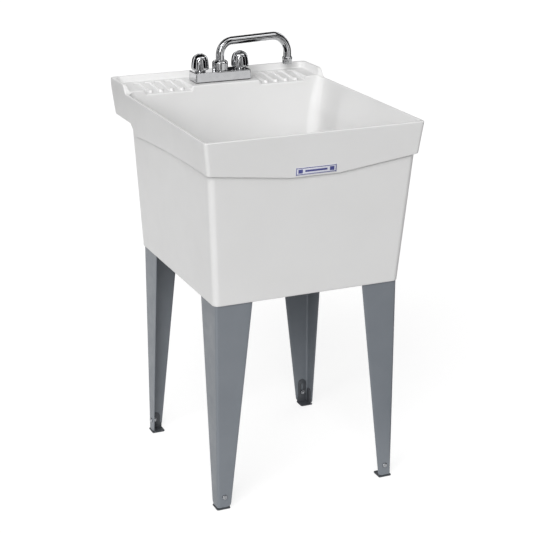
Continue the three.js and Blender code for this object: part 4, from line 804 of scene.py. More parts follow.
def turned(profile, steps=64, radius=0.4, shape=None):
    """Points and faces of a profile turned about Z.

    A shape changes each point's radius by its angle, radius and height.
    """
    angles = np.arange(steps) * 2 * np.pi / steps
    points = []
    rows = []
    for distance, height in eased(profile, radius):
        if distance < 1e-6:
            rows.append([len(points)])
            points.append((0.0, 0.0, height))
            continue
        reach = np.full(steps, shape(angles, distance, height) if shape else distance)
        rows.append(list(range(len(points), len(points) + steps)))
        points += list(zip(reach * np.cos(angles), reach * np.sin(angles), np.full(steps, height)))
    if len(rows[0]) > 1:
        rows.append(rows[0])
    faces = []
    for low, high in zip(rows, rows[1:]):
        for side in range(steps):
            beside = (side + 1) % steps
            if len(low) == 1:
                faces.append((low[0], high[beside], high[side]))
            elif len(high) == 1:
                faces.append((low[side], low[beside], high[0]))
            else:
                faces.append((low[side], low[beside], high[beside], high[side]))
    return np.array(points), faces


def capped(rows):
    """Points and faces of a loft over closed rings, with a flat face at each end."""
    count = len(rows[0])
    faces = ring_faces(len(rows), count, False)
    faces.append(tuple(reversed(range(count))))
    faces.append(tuple(range((len(rows) - 1) * count, len(rows) * count)))
    return np.concatenate(rows), faces


def arc_points(x, y, radius, start, end, steps):
    angles = [math.radians(lerp(start, end, step / steps)) for step in range(steps + 1)]
    return [(x + radius * math.cos(angle), y + radius * math.sin(angle)) for angle in angles]


def slot_outline(x0, y0, x1, y1, radius, start, steps):
    """A slot with two round ends, the first of which starts its half turn at an angle."""
    return arc_points(x0, y0, radius, start, start + 180, steps) + arc_points(
        x1, y1, radius, start + 180, start + 360, steps)


def rounded_outline(x0, x1, y0, y1, radii, steps=8):
    """A rectangle with a radius for each corner: front left, front right, back right, back left."""
    corners = [(x0, y0, 1, 1, 180), (x1, y0, -1, 1, 270), (x1, y1, -1, -1, 0), (x0, y1, 1, -1, 90)]
    out = []
    for (x, y, in_x, in_y, start), radius in zip(corners, radii):
        out += arc_points(x + in_x * radius, y + in_y * radius, radius, start, start + 90, steps)
    return out


def rounded_ring(half_x, half_y, radius, z):
    outline = rounded_outline(-half_x, half_x, -half_y, half_y, [radius] * 4)
    return np.array([(x, y, z) for x, y in outline])


def weld(mesh, flat=0.0):
    """Joins points that lie together, and flat neighbours where an angle in degrees is given."""
    soft = bmesh.new()
    soft.from_mesh(mesh)
    bmesh.ops.remove_doubles(soft, verts=soft.verts, dist=0.01 * MM)
    if flat:
        bmesh.ops.dissolve_limit(soft, angle_limit=math.radians(flat), verts=soft.verts, edges=soft.edges)
    soft.to_mesh(mesh)
    soft.free()


def plate(name, outlines, low, high, edge, finish, body, nodes, place):
    """A flat sheet with softened edges, from its outline and those of its holes."""
    curve = bpy.data.curves.new(name, "CURVE")
    curve.dimensions = "2D"
    curve.fill_mode = "BOTH"
    curve.extrude = ((high - low) / 2 - edge) * MM
    curve.bevel_depth = edge * MM
    curve.bevel_resolution = 2
    curve.offset = -edge * MM
    for outline in outlines:
        spline = curve.splines.new("POLY")
        spline.points.add(len(outline) - 1)
        for point, (x, y) in zip(spline.points, outline):
            point.co = (x * MM, y * MM, 0.0, 1.0)
        spline.use_cyclic_u = True
    drawn = added(name + "_outline", curve)
    bpy.context.view_layer.update()
    mesh = bpy.data.meshes.new_from_object(drawn.evaluated_get(bpy.context.evaluated_depsgraph_get()))
    bpy.data.objects.remove(drawn)
    mesh.transform(Matrix.Translation((0, 0, (low + high) / 2 * MM)))
    mesh.transform(place)
    if place.determinant() < 0:
        mesh.flip_normals()
    weld(mesh)
    return dress(name, mesh, finish, body, nodes)


def softened(node_name, finish, body, width):
    """A copy of a CAD node with its edges softened by a small bevel."""
    mesh = frame["nodes"][node_name].data.copy()
    weld(mesh, flat=1.0)
    thing = dress(node_name + "_soft", mesh, finish, body, [node_name], 30.0)
    edges = thing.modifiers.new("edges", "BEVEL")
    edges.width = width * MM
    edges.segments = 2
    edges.limit_method = "ANGLE"
    edges.angle_limit = math.radians(30)
    edges.harden_normals = False
    thing.modifiers.new("shading", "WEIGHTED_NORMAL").keep_sharp = True


# ---- label


def make_label():
    """A thin sheet on the slope of the apron, drawn in its own plane with x across and y up."""
    upright = Matrix.Rotation(math.radians(90) + math.atan(APRON_FRONT_DRAFT), 4, "X")
    place = Matrix.Translation((0, apron_front(LABEL_LOW_Z) * MM, LABEL_LOW_Z * MM)) @ upright
    outline = rounded_outline(-LABEL_HALF, LABEL_HALF, 0, LABEL_HIGH, [1.5] * 4)
    plate("label_sheet", [outline], 0.3, 0.9, 0.15, "label_film", "stand", ["front_label"], place)


make_label()

# ---- legs and levelling feet

LEG_X = 217.544
LEG_FRONT_Y = -268.006
LEG_BACK_Y = 197.5
# Outer corner, turn of the flanges u and v about it, and the flange that the foot's bolt goes through.
LEGS = {
    "front_left": (-LEG_X, LEG_FRONT_Y, 0, "u"),
    "front_right": (LEG_X, LEG_FRONT_Y, 90, "v"),
    "back_right": (LEG_X, LEG_BACK_Y, 180, "u"),
    "back_left": (-LEG_X, LEG_BACK_Y, 270, "u"),
}
LEG_SHEET = 2.0
LEG_BEND = 6.0
LEG_TIP_R = 0.55
LEG_LOW_Z = 4.2
LEG_TOP_Z = 512.0
LEG_END = 9.0  # height of the flanges' round lower ends
FLANGE_WIDE = 31.3
FLANGE_TAPER = 0.1129
BOLT_IN = 16.5
BOLT_Z = 30.0
FOOT_LOW = 2.3  # the foot's upright lies between these distances from the leg's outer face
FOOT_HIGH = 4.6
FOOT_REACH = 30.5
FOOT_PROUD = 1.5
FOOT_PLATE = 2.5
UPRIGHT_HALF = 10.5
SLOT_R = 3.3
SLOT_LONG = 19.0
SOCKET_NEAR = 2.4
SOCKET_FAR = 6.3

SWAP_XY = Matrix(((0, 1, 0, 0), (1, 0, 0, 0), (0, 0, 1, 0), (0, 0, 0, 1)))
SWAP_YZ = Matrix(((1, 0, 0, 0), (0, 0, 1, 0), (0, 1, 0, 0), (0, 0, 0, 1)))


def flange_width(z):
    return FLANGE_WIDE + z * FLANGE_TAPER


def corner_frame(x, y, turn):
    return Matrix.Translation((x * MM, y * MM, 0)) @ Matrix.Rotation(math.radians(turn), 4, "Z")


def bolt_frame(key):
    """The leg's frame with x along the flange that the bolt goes through."""
    x, y, turn, flange = LEGS[key]
    place = corner_frame(x, y, turn)
    return place if flange == "u" else place @ SWAP_XY


def leg_ring(z, width, thin):
    """A full ring of the L: outer bend, one flange there and back, inner bend, the other flange."""
    outer = arc_points(LEG_BEND, LEG_BEND, LEG_BEND - thin, 180, 270, 12)
    inner = arc_points(LEG_BEND, LEG_BEND, LEG_BEND - LEG_SHEET + thin, 270, 180, 8)
    flange = [(lerp(LEG_BEND, width, share), thin) for share in (0.3, 0.6, 0.9)]
    tip_x = width - thin - LEG_TIP_R
    flange += arc_points(tip_x, thin + LEG_TIP_R, LEG_TIP_R, -90, 0, 3)
    flange += arc_points(tip_x, LEG_SHEET - thin - LEG_TIP_R, LEG_TIP_R, 0, 90, 3)
    flange += [(lerp(LEG_BEND, width, share), LEG_SHEET - thin) for share in (0.9, 0.6, 0.3)]
    other = [(y, x) for x, y in reversed(flange)]
    return np.array([(x, y, z) for x, y in outer + flange + inner + other])


def make_leg(key):
    # Height, and how far the section is drawn in to soften the sheet's ends.
    levels = [(LEG_LOW_Z, 0.4), (LEG_LOW_Z + 0.15, 0.12), (LEG_LOW_Z + 0.5, 0.0)]
    levels += [(LEG_LOW_Z + 0.5 + (LEG_END - 0.5) * step / 12, 0.0) for step in range(1, 13)]
    levels += [(z, 0.0) for z in (14.0, 20.0, 40.0, 90.0, 180.0, 280.0, 380.0, 450.0, 484.0, LEG_TOP_Z - 0.5)]
    levels.append((LEG_TOP_Z, 0.4))
    rings = []
    for z, thin in levels:
        share = min((z - LEG_LOW_Z) / LEG_END, 1.0)
        back = LEG_END * (1 - math.sqrt(max(1 - (1 - share) ** 2, 0.0)))
        rings.append(leg_ring(z, flange_width(z) - back, thin))
    solid("leg_sheet_" + key, capped(rings), "grey_paint", "stand", ["leg_" + key],
          place=corner_frame(*LEGS[key][:3]), sharp=40.0)


def upright_outline(top_z):
    """The foot's upright: straight at the plate, curved in to its neck and round at the top."""
    neck = LEG_BEND + 2 * UPRIGHT_HALF
    curve = []
    for step in range(9):
        share = step / 8
        first = lerp(8.0, 12.0, share)
        second = (lerp(FOOT_REACH, neck, share), lerp(12.0, 16.0, share))
        curve.append((lerp(FOOT_REACH, second[0], share), lerp(first, second[1], share)))
    top = arc_points(LEG_BEND + UPRIGHT_HALF, top_z - UPRIGHT_HALF, UPRIGHT_HALF, 0, 180, 20)
    return [(LEG_BEND, 0.6), (FOOT_REACH - 0.5, 0.6)] + curve + top


def make_foot(key):
    bolted = bolt_frame(key)
    body = "foot_" + key
    slot = slot_outline(BOLT_IN, BOLT_Z + SLOT_LONG, BOLT_IN, BOLT_Z, SLOT_R, 0, 10)
    plate("foot_slotted_" + key, [upright_outline(64.0), slot], FOOT_LOW, FOOT_HIGH, 0.3, "dark_paint", body,
          ["foot_" + key], bolted @ SWAP_YZ)
    plate("foot_stay_" + key, [upright_outline(42.0)], FOOT_LOW, FOOT_HIGH, 0.3, "dark_paint", body, [],
          bolted @ SWAP_XY @ SWAP_YZ)
    rim = rounded_outline(-FOOT_PROUD, FOOT_REACH, -FOOT_PROUD, FOOT_REACH, (4, 3, 5, 3), 6)
    plate("foot_plate_" + key, [rim], 0.0, FOOT_PLATE, 0.35, "dark_paint", body, [], bolted)


def cross_recess(angles, distance, height):
    """A cross recess in a bolt's head."""
    if height > -2.4 or distance > 3.2:
        return distance
    return distance * (1 - 0.42 * np.abs(np.sin(2 * angles)) ** 0.7)


def make_bolt(key):
    across = Matrix(((1, 0, 0, BOLT_IN * MM), (0, 0, 1, 0), (0, -1, 0, BOLT_Z * MM), (0, 0, 0, 1)))
    profile = [(0, 12.9), (2.3, 12.9), (3.0, 11.8), (3.0, -0.3), (5.6, -0.3), (5.6, -1.4), (5.0, -2.9, 1.6),
               (2.6, -3.65, 1.2), (2.2, -2.5, 0.2), (0, -2.5)]
    solid("bolt_" + key, turned(profile, 48, 0.25, cross_recess), "zinc", "stand", ["foot_bolt_" + key],
          place=bolt_frame(key) @ across)


def make_sockets():
    """Moulded ribs behind the tops of the legs, inside the skirt."""
    points = []
    faces = []
    near, far = SOCKET_NEAR, SOCKET_FAR
    width = flange_width(SKIRT_Z) + 4.3
    outline = [(near, near), (width, near), (width, far), (far, far), (far, width), (near, width)]
    middle = (near + far) / 2
    # Height, and how far the outline is drawn in towards its corner.
    levels = ((SKIRT_Z + 0.4, 0.5 / 30), (SKIRT_Z + 0.9, 0.0), (UNDER_Z + 0.6, 0.0))
    rings = [np.array([(lerp(x, middle, inset), lerp(y, middle, inset), z) for x, y in outline])
             for z, inset in levels]
    made, sides = capped(rings)
    for x, y, turn, _ in LEGS.values():
        faces += [tuple(corner + len(points) for corner in face) for face in facing_out(made, sides)]
        points += list(placed(made, corner_frame(x, y, turn)))
    piece("tub_sockets", points, faces, "white_plastic", "stand")


for leg_key in LEGS:
    make_leg(leg_key)
    make_foot(leg_key)
    make_bolt(leg_key)
    softened("foot_nut_" + leg_key, "zinc", "stand", 0.35)
make_sockets()

# ---- faucet

FAUCET = (0.0, 242.0, DECK_Z)
VALVE_X = 51.0
BASE_HALF_X = 71.0
BASE_HALF_Y = 25.0
BASE_LOW = 2.2
BASE_TOP = 24.2
BASE_DRAFT = 1.2
BASE_EDGE_R = 1.6
BASE_CORNER_R = 2.5
BASE_OVER_GASKET = 1.5
BOSS_TURNED_R = 14.2


def base_ring(z, inset):
    take = BASE_DRAFT * (z - BASE_LOW) / (BASE_TOP - BASE_LOW) + inset
    return rounded_ring(BASE_HALF_X - take, BASE_HALF_Y - take, max(BASE_CORNER_R - inset * 0.6, 0.8), z)


def make_base():
    rows = [base_ring(BASE_LOW, 0.5), base_ring(BASE_LOW + 0.15, 0.15), base_ring(BASE_LOW + 0.5, 0.0)]
    rows += [base_ring(z, 0.0) for z in (BASE_LOW + 1.2, 8.0, 15.0, 20.5, BASE_TOP - BASE_EDGE_R - 0.5)]
    for sine, cosine in quarter(6):
        rows.append(base_ring(BASE_TOP - BASE_EDGE_R * (1 - sine), BASE_EDGE_R * (1 - cosine)))
    rows += [base_ring(BASE_TOP, BASE_EDGE_R + 0.5), base_ring(BASE_TOP, BASE_EDGE_R + 3.0)]
    solid("faucet_base", capped(rows), "chrome", "stand", ["faucet_body"], FAUCET, sharp=60.0)
    boss = [(0, 20.0), (BOSS_TURNED_R, 20.0), (BOSS_TURNED_R, 37.2), (0, 37.2)]
    solid("faucet_boss", turned(boss, 64), "chrome", "stand", [], FAUCET)
    half_x, half_y = BASE_HALF_X - BASE_OVER_GASKET, BASE_HALF_Y - BASE_OVER_GASKET
    rows = [rounded_ring(half_x, half_y, BASE_CORNER_R, z) for z in (0.3, 1.9)]
    solid("gasket_pad", capped(rows), "rubber", "stand", ["faucet_gasket"], FAUCET)


# Share of the handle's height and of its radius, from the skirt to the cap.
HANDLE_PROFILE = [
    (0.0, 0.93), (0.05, 1.0), (0.25, 0.98), (0.45, 0.935), (0.62, 0.88), (0.75, 0.8), (0.86, 0.67),
    (0.94, 0.48), (1.0, 0.27),
]
HANDLE_R = 21.8
HANDLE_HIGH = 36.0
HANDLE_BORE_R = 13.4
SKIRT = BASE_TOP + 5.8  # lower edge of the handle
CAP_R = 5.8
FLUTE_ANGLE = math.radians(-110)
FLUTE_TOP = 0.66  # share of the handle's height where the flutes end
FLUTE_DEPTH = 0.27  # share of the radius
FLUTE_FLOOR_R = 14.3
SHANK_R = 10.3
SHANK_LOW = -49.5


def through(knots, count):
    """A smooth line through knots, evenly drawn."""
    knots = np.array(knots, float)
    ends = np.vstack([2 * knots[0] - knots[1], knots, 2 * knots[-1] - knots[-2]])
    out = []
    for k in range(1, len(ends) - 2):
        a, b, c, d = ends[k - 1:k + 3]
        for step in range(count):
            t = step / count
            curve = (2 * a - 5 * b + 4 * c - d) * t * t + (3 * b - a - 3 * c + d) * t ** 3
            out.append(0.5 * (2 * b + (c - a) * t + curve))
    out.append(knots[-1])
    return out


def threads(radius, depth, flank, low, high, pitch, ease):
    """Corners of a profile's thread grooves, drawn as closed rings."""
    out = []
    for z in np.arange(low, high, pitch):
        out += [(radius, z, ease), (radius - depth, z + flank, ease), (radius, z + 2 * flank, ease)]
    return out


def handle_shape(angles, distance, height):
    """The radius of the handle's skin, drawn in where a flute runs up from the skirt."""
    rise = (height - SKIRT) / HANDLE_HIGH
    if distance < FLUTE_FLOOR_R or rise > FLUTE_TOP:
        return distance
    share = max(rise, 0.0) / FLUTE_TOP
    lobe = np.maximum(np.cos(4 * (angles - FLUTE_ANGLE)), 0.0) ** lerp(2.2, 9.0, share)
    return np.maximum(distance * (1 - FLUTE_DEPTH * (1 - share ** 1.6) * lobe), FLUTE_FLOOR_R)


def make_handle(water, side):
    """The handle with its cap, the bonnet below it and the shank with its nut."""
    body = water + "_handle"
    where = (side * VALVE_X, FAUCET[1], FAUCET[2])
    top = SKIRT + HANDLE_HIGH
    profile = [(0, SKIRT + 3.1), (HANDLE_BORE_R, SKIRT + 3.1), (HANDLE_BORE_R, SKIRT + 0.5),
               (HANDLE_BORE_R + 0.5, SKIRT), (15.0, SKIRT), (HANDLE_R * 0.9, SKIRT)]
    outside = [(HANDLE_R * spread, SKIRT + HANDLE_HIGH * rise) for rise, spread in through(HANDLE_PROFILE, 6)]
    profile += outside[1:-1]
    profile += [(HANDLE_R * 0.335, top - 0.15), (6.7, top), (6.1, top - 0.4), (6.1, top - 2.9)]
    profile.append((0, top - 2.9))
    solid(water + "_knob", turned(profile, 160, 0.25, handle_shape), "chrome", body, [water + "_handle"],
          where, sharp=55.0)
    cap = [(0, top - 2.6), (CAP_R, top - 2.6), (CAP_R, top - 0.1), (4.4, top + 0.6, 1.2), (0, top + 0.9)]
    solid(water + "_knob_cap", turned(cap, 64, 0.5), "chrome", body, [water + "_handle_cap"], where)
    low = BASE_TOP + 0.3
    bonnet = [(4.7, low), (12.8, low), (12.8, low + 6.0), (10.3, low + 8.0), (4.7, low + 8.0)]
    solid(water + "_bonnet_ring", turned(bonnet, 64, 0.5), "chrome", "stand", [water + "_bonnet"], where)
    shank = [(5.5, SHANK_LOW), (SHANK_R - 1.0, SHANK_LOW), (SHANK_R, SHANK_LOW + 1.0)]
    shank += threads(SHANK_R, 0.55, 0.7, SHANK_LOW + 2.0, -8.5, 1.8, 0.1)
    shank += [(SHANK_R, 1.9), (7.0, 1.9), (7.0, 9.2), (5.5, 9.2)]
    solid(water + "_pipe", turned(shank, 48, 0.1), "brass", "stand", [water + "_shank"], where)
    softened(water + "_mounting_nut", "nylon", "stand", 0.4)


SPOUT_R = 9.75
SPOUT_BORE_R = 7.6
SPOUT_ANGLE = math.radians(10)
SPOUT_REACH = 194.0
SPOUT_TOP = 91.0  # axis of the level run
SPOUT_RISE_R = 32.0  # first bend
SPOUT_FALL_R = 46.0  # second bend
SPOUT_SIDES = 72
OUTLET_R = 11.9
OUTLET_RING_R = 12.3


def spout_bend(x, z, radius, start, end, steps):
    """Points round a bend with the heading at each."""
    points = arc_points(x, z, radius, start, end, steps)
    return [(point, angle - 90.0) for point, angle in zip(points, np.linspace(start, end, steps + 1))]


def spout_line():
    """Points along the axis of the spout with the heading there, in its own X-Z plane."""
    line = [((0.0, z), 90.0) for z in (25.2, 35.0, 44.0, 52.0)]
    line += spout_bend(SPOUT_RISE_R, SPOUT_TOP - SPOUT_RISE_R, SPOUT_RISE_R, 180.0, 90.0, 30)
    line += [((x, SPOUT_TOP), 0.0) for x in np.linspace(40.0, 140.0, 9)]
    line += spout_bend(SPOUT_REACH - SPOUT_FALL_R, SPOUT_TOP - SPOUT_FALL_R, SPOUT_FALL_R, 90.0, 0.0, 36)
    line += [((SPOUT_REACH, z), -90.0) for z in (38.0, 31.0, 24.6)]
    return line


def knurl(angles, distance, height):
    """Fine upright knurling below the ring of the outlet."""
    if distance > 11.3 and 19.6 < height < 28.2:
        return distance - 0.22 * (1 + np.cos(36 * angles))
    return distance


def make_spout():
    around = np.arange(SPOUT_SIDES)[:, None] * 2 * np.pi / SPOUT_SIDES
    sideways = np.array([0.0, 1.0, 0.0])
    rows = []
    line = spout_line()
    for stops, radius in ((line, SPOUT_R), (line[::-1], SPOUT_BORE_R)):
        for (x, z), heading in stops:
            lean = math.radians(heading)
            across = np.array([-math.sin(lean), 0.0, math.cos(lean)])
            ring = np.cos(around) * across + np.sin(around) * sideways
            rows.append(np.array([x, 0.0, z]) + radius * ring)
    swing = Matrix.Translation(np.array(FAUCET) * MM) @ Matrix.Rotation(SPOUT_ANGLE, 4, "Z")
    pipe = np.concatenate(rows), ring_faces(len(rows), SPOUT_SIDES, True)
    solid("spout_pipe", pipe, "chrome", "spout", ["spout_tube"], place=swing)
    collar = [(9.9, 37.5), (13.0, 37.5), (13.0, 41.1), (9.9, 41.1)]
    solid("spout_collar", turned(collar, 64, 0.5), "chrome", "spout", [], FAUCET)
    tip = [(SPOUT_BORE_R, 18.5), (11.1, 18.5), (OUTLET_R, 19.3)]
    tip += [(OUTLET_R, z, 0.1) for z in (20.0, 24.0, 28.0)]
    tip += [(OUTLET_R, 29.3, 0.2), (OUTLET_RING_R, 30.4, 0.2), (OUTLET_RING_R, 34.8), (11.3, 36.0)]
    tip += [(10.05, 36.0), (10.05, 24.2), (SPOUT_BORE_R, 24.2)]
    solid("spout_outlet", turned(tip, 144, 0.4, knurl), "chrome", "spout", ["spout_tip"],
          (SPOUT_REACH, 0, 0), swing)


NUT_R = 19.0
NUT_LOW = BASE_TOP + 0.3
NUT_TOP = BASE_TOP + 23.0
NUT_BORE_R = 14.5
NUT_HOLE_R = 10.2
NUT_FLUTES = 8
NUT_FLUTE_R = 3.6
NUT_FLUTE_AT = 20.6  # the flutes' centres from the axis
NUT_FLUTE_TOP = BASE_TOP + 16.0


def off_side(angles, sides, start):
    """Each angle's distance from the nearest of some evenly spaced angles."""
    turn = 2 * np.pi / sides
    return np.mod(angles - start + turn / 2, turn) - turn / 2


def nut_shape(angles, distance, height):
    """The radius of the spout nut, with round flutes that fade out at its shoulder."""
    if distance < NUT_BORE_R + 1.0:
        return distance
    off = off_side(angles, NUT_FLUTES, FLUTE_ANGLE)
    bite = NUT_FLUTE_R ** 2 - (NUT_FLUTE_AT * np.sin(off)) ** 2
    cut = np.where(bite > 0, NUT_FLUTE_AT * np.cos(off) - np.sqrt(np.maximum(bite, 0)), np.inf)
    fade = smooth_step((height - NUT_FLUTE_TOP) / 2.2)
    return np.minimum(distance, cut + fade * 6.0)


def make_spout_nut():
    profile = [(NUT_BORE_R, NUT_LOW), (NUT_R, NUT_LOW, 0.8)]
    profile += [(NUT_R, NUT_LOW + rise, 0.2) for rise in (1.5, 4, 8, 12, 15.2, 16.0, 16.8, 17.4)]
    profile += [(NUT_R - 0.4, NUT_TOP - 4.2, 1.2), (16.6, NUT_TOP - 1.4, 1.2), (14.6, NUT_TOP, 0.5)]
    profile += [(NUT_HOLE_R, NUT_TOP), (NUT_HOLE_R, 41.4), (NUT_BORE_R, 41.4)]
    solid("spout_nut_fluted", turned(profile, 192, 0.5, nut_shape), "chrome", "stand", ["spout_nut"],
          FAUCET, sharp=45.0)


make_base()
make_handle("hot", -1)
make_handle("cold", 1)
make_spout()
make_spout_nut()

# ---- drain

DRAIN = (0.0, DRAIN_Y, FLOOR_Z)
DRAIN_THREAD_R = 22.0
DRAIN_FLANGE_R = 32.0
DRAIN_SHELL_R = 18.2
GRID_R = 18.7
GRID_SLOTS = 6
GRID_SLOT_R = 1.8
GRID_SLOT_ENDS = (5.76, 14.98)
PLUG_R = 24.0
THREAD_HOLE_R = 22.3  # bore of the gasket and nuts round the thread
LOCKNUT_R = 33.0
LOCKNUT_FLAT = 27.9  # the locknut's eight flats from its axis
TAIL_R = 19.0
SLIP_R = 26.6


def make_strainer():
    shell = [(DRAIN_SHELL_R, -24.6), (DRAIN_SHELL_R, -42.6), (DRAIN_THREAD_R, -42.6)]
    shell += threads(DRAIN_THREAD_R, 0.6, 0.8, -40.5, -14.0, 2.2, 0.15)
    shell += [(DRAIN_THREAD_R, -2.6), (DRAIN_FLANGE_R, -2.6), (DRAIN_FLANGE_R, -0.8), (30.8, 0.0, 0.8)]
    shell += [(21.4, -0.4, 1.5), (19.2, -2.4, 1.5), (19.2, -22.0), (DRAIN_SHELL_R, -23.0)]
    solid("strainer_shell", turned(shell, 96, 0.3), "steel", "stand", ["drain_strainer"], DRAIN)
    rim = arc_points(0, 0, GRID_R, 0, 360 * 71 / 72, 71)
    slot = slot_outline(GRID_SLOT_ENDS[1], 0, GRID_SLOT_ENDS[0], 0, GRID_SLOT_R, -90, 8)
    slots = []
    for index in range(GRID_SLOTS):
        turn = 2 * math.pi * index / GRID_SLOTS
        slots.append([(x * math.cos(turn) - y * math.sin(turn), x * math.sin(turn) + y * math.cos(turn))
                      for x, y in slot])
    place = Matrix.Translation(np.array(DRAIN) * MM)
    plate("strainer_grid", [rim] + slots, -24.5, -22.0, 0.25, "steel", "stand", [], place)


def make_plug_and_gasket():
    plug = [(0, -13), (17.6, -13), (18.6, -2), (18.6, 0.3), (PLUG_R, 0.3), (PLUG_R, 2.4), (22, 3.4, 0.8)]
    plug += [(3.6, 3.4, 1.2), (3.25, 7.9, 1.5), (6.5, 9.9, 1.4), (6.5, 11.9, 1.4), (3.9, 13.4, 1.4)]
    plug.append((0, 13.4))
    solid("plug_rubber", turned(plug, 72, 0.5), "rubber", "plug", ["drain_plug"], DRAIN)
    gasket = [(THREAD_HOLE_R, -11.3), (DRAIN_FLANGE_R, -11.3), (DRAIN_FLANGE_R, -8.3), (THREAD_HOLE_R, -8.3)]
    solid("gasket_ring", turned(gasket, 72, 0.5), "rubber", "stand", ["drain_gasket"], DRAIN)


def locknut_shape(angles, distance, height):
    """Eight flats below the locknut's flange."""
    if distance < 23.0 or height > -15.0:
        return distance
    return np.minimum(distance, LOCKNUT_FLAT / np.cos(off_side(angles, 8, math.pi / 8)))


def slip_nut_shape(angles, distance, height):
    """Twelve grips round the slip nut."""
    if distance < 25.0:
        return distance
    return distance - 0.9 * (1 - np.abs(np.cos(6 * angles)) ** 0.35)


def make_pipe_and_nuts():
    nut = [(THREAD_HOLE_R, -19.6), (29.6, -19.6), (29.8, -18.8), (29.8, -15.4), (29.8, -14.8)]
    nut += [(LOCKNUT_R, -14.6), (LOCKNUT_R, -11.6), (THREAD_HOLE_R, -11.6)]
    solid("locknut", turned(nut, 96, 0.4, locknut_shape), "nylon", "stand", ["drain_locknut"], DRAIN)
    tail = [(17.4, -93.0), (TAIL_R, -93.0), (TAIL_R, -47.4), (21.5, -47.4), (21.5, -45.0), (17.4, -45.0)]
    solid("tail_tube", turned(tail, 72, 0.3), "white_plastic", "stand", ["drain_tailpiece"], DRAIN)
    slip = [(TAIL_R + 0.3, -55.6), (SLIP_R - 1.0, -55.6), (SLIP_R, -54.6), (SLIP_R, -37.0), (SLIP_R, -36.2)]
    slip += [(SLIP_R - 1.0, -35.6), (THREAD_HOLE_R, -35.6), (THREAD_HOLE_R, -47.6), (TAIL_R + 0.3, -47.6)]
    solid("slip_nut", turned(slip, 144, 0.4, slip_nut_shape), "white_plastic", "stand",
          ["drain_slip_nut"], DRAIN)


make_strainer()
make_plug_and_gasket()
make_pipe_and_nuts()

# ---- stage and light, in metres

WORLD_LIGHT = 0.38
FLOOR_HALF = 14.0
FLOOR_GREY = 0.33
FLOOR_GLOW = 0.75  # on rays from the camera and from reflections
FLAG_BLACK = (0.015, 0.015, 0.017)
SUN_AWAY = 4.0

# Strength of each bright card.
CARDS = {"card_basin": 0.88, "card_basin_side": 0.88, "card_above": 2.0}
# Name, two ends in plan, lower and upper edge.
UPRIGHT_FLAGS = [
    ("flag_back", -2.6, 2.9, 0.4, 2.9, 0.02, 2.2),
    ("flag_back_right", 1.05, 2.9, 2.6, 2.2, 0.02, 2.6),
    ("flag_right", 2.8, 1.2, 2.8, -1.4, 0.02, 3.4),
    ("flag_front_right", 2.0, -2.2, 1.1, -2.9, 0.02, 3.4),
    ("flag_camera", 0.3, -3.6, -1.7, -3.6, 0.02, 3.4),
    ("flag_front_left", -2.0, -2.2, -2.7, -1.0, 0.02, 3.4),
    ("flag_left", -2.8, -0.6, -2.8, 1.6, 0.02, 3.4),
    ("flag_spout", 2.0, -2.6, 3.1, -1.8, 0.5, 2.2),
    ("flag_basin_side", 0.222, 0.1, 0.222, 0.185, 0.6, 0.852),
    ("flag_basin", -0.22, -0.27, 0.0, -0.27, 0.55, 0.845),
    ("card_basin", 0.02, -0.27, 0.22, -0.27, 0.55, 0.852),
    ("card_basin_side", 0.22, -0.27, 0.225, 0.1, 0.55, 0.852),
]
# Name, two corners in plan, height.
LEVEL_FLAGS = [
    ("flag_above", -3.0, -0.15, 3.0, 3.2, 3.4),
    ("flag_strip", -3.0, -1.8, 3.0, -1.2, 3.4),
    ("flag_low", -3.0, -3.3, 3.0, -2.2, 3.4),
    ("flag_well", -0.2, -0.25, 0.2, 0.17, 0.6),
    ("flag_floor", 0.32, -2.7, 2.7, 0.1, 0.01),
    ("flag_deck", 0.085, 0.205, 0.15, 0.3, 0.877),
    ("card_above", 0.6, -1.2, 3.0, -0.15, 3.4),
]
# Way back to the light, its spread in degrees and its power.
SUNS = {"key": ((-0.42, -0.53, 0.42), 50, 3.0), "fill": ((0.72, 0.5, 0.1), 60, 0.9)}


def staged(name, corners, material):
    """A flat four-cornered sheet of the studio, which isn't part of the sink."""
    mesh = bpy.data.meshes.new(name)
    mesh.from_pydata(corners, [], [(0, 1, 2, 3)])
    mesh.materials.append(material)
    sheet = added(name, mesh)
    return sheet


def level_corners(x0, y0, x1, y1, z):
    return [(x0, y0, z), (x1, y0, z), (x1, y1, z), (x0, y1, z)]


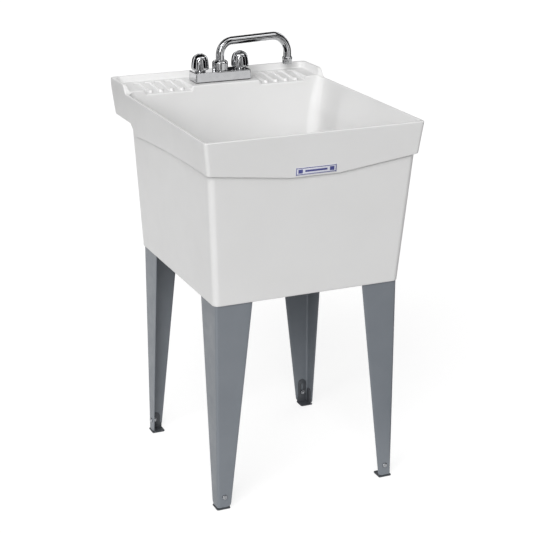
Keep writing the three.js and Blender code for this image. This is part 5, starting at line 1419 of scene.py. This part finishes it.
def make_floor():
    material = bpy.data.materials.new("floor")
    g = Graph(material)
    glow = g.ramp(g.rays("Is Camera Ray", "Is Glossy Ray"), 0.0, FLOOR_GLOW)
    diffuse = g.add("ShaderNodeBsdfDiffuse", {"Color": (FLOOR_GREY, FLOOR_GREY, FLOOR_GREY)})
    emission = g.add("ShaderNodeEmission", {"Strength": glow})
    g.surface(g.add("ShaderNodeAddShader", {0: diffuse.outputs[0], 1: emission.outputs[0]}))
    staged("floor", level_corners(-FLOOR_HALF, -FLOOR_HALF, FLOOR_HALF, FLOOR_HALF, 0), material)


def make_world():
    """Dim light all round, which the camera, reflections and glass see as white."""
    world = bpy.data.worlds.new("world")
    bpy.context.scene.world = world
    g = Graph(world)
    strength = g.ramp(g.rays("Is Camera Ray", "Is Glossy Ray", "Is Transmission Ray"), WORLD_LIGHT, 1.0)
    background = g.add("ShaderNodeBackground", {"Color": (1, 1, 1), "Strength": strength})
    g.surface(background, "ShaderNodeOutputWorld")


def make_flags():
    """Dark panels and bright cards round the sink, which only reflections show."""
    black = bpy.data.materials.new("flag")
    g = Graph(black)
    g.surface(g.add("ShaderNodeBsdfDiffuse", {"Color": FLAG_BLACK}))
    cards = {}
    for name, strength in CARDS.items():
        cards[name] = bpy.data.materials.new(name)
        g = Graph(cards[name])
        g.surface(g.add("ShaderNodeEmission", {"Strength": strength}))
    panels = [(name, [(x0, y0, low), (x1, y1, low), (x1, y1, high), (x0, y0, high)])
              for name, x0, y0, x1, y1, low, high in UPRIGHT_FLAGS]
    panels += [(name, level_corners(*sizes)) for name, *sizes in LEVEL_FLAGS]
    for name, corners in panels:
        panel = staged(name, corners, cards.get(name, black))
        for rays in ("camera", "diffuse", "shadow", "transmission"):
            setattr(panel, "visible_" + rays, False)


def add_sun(name, toward, spread, power):
    data = bpy.data.lights.new(name, "SUN")
    data.angle = math.radians(spread)
    data.energy = power
    lamp = added(name, data)
    lamp.location = Vector(toward).normalized() * SUN_AWAY
    aim(lamp, -Vector(toward))


make_floor()
make_world()
make_flags()
for sun_name, sun in SUNS.items():
    add_sun(sun_name, *sun)
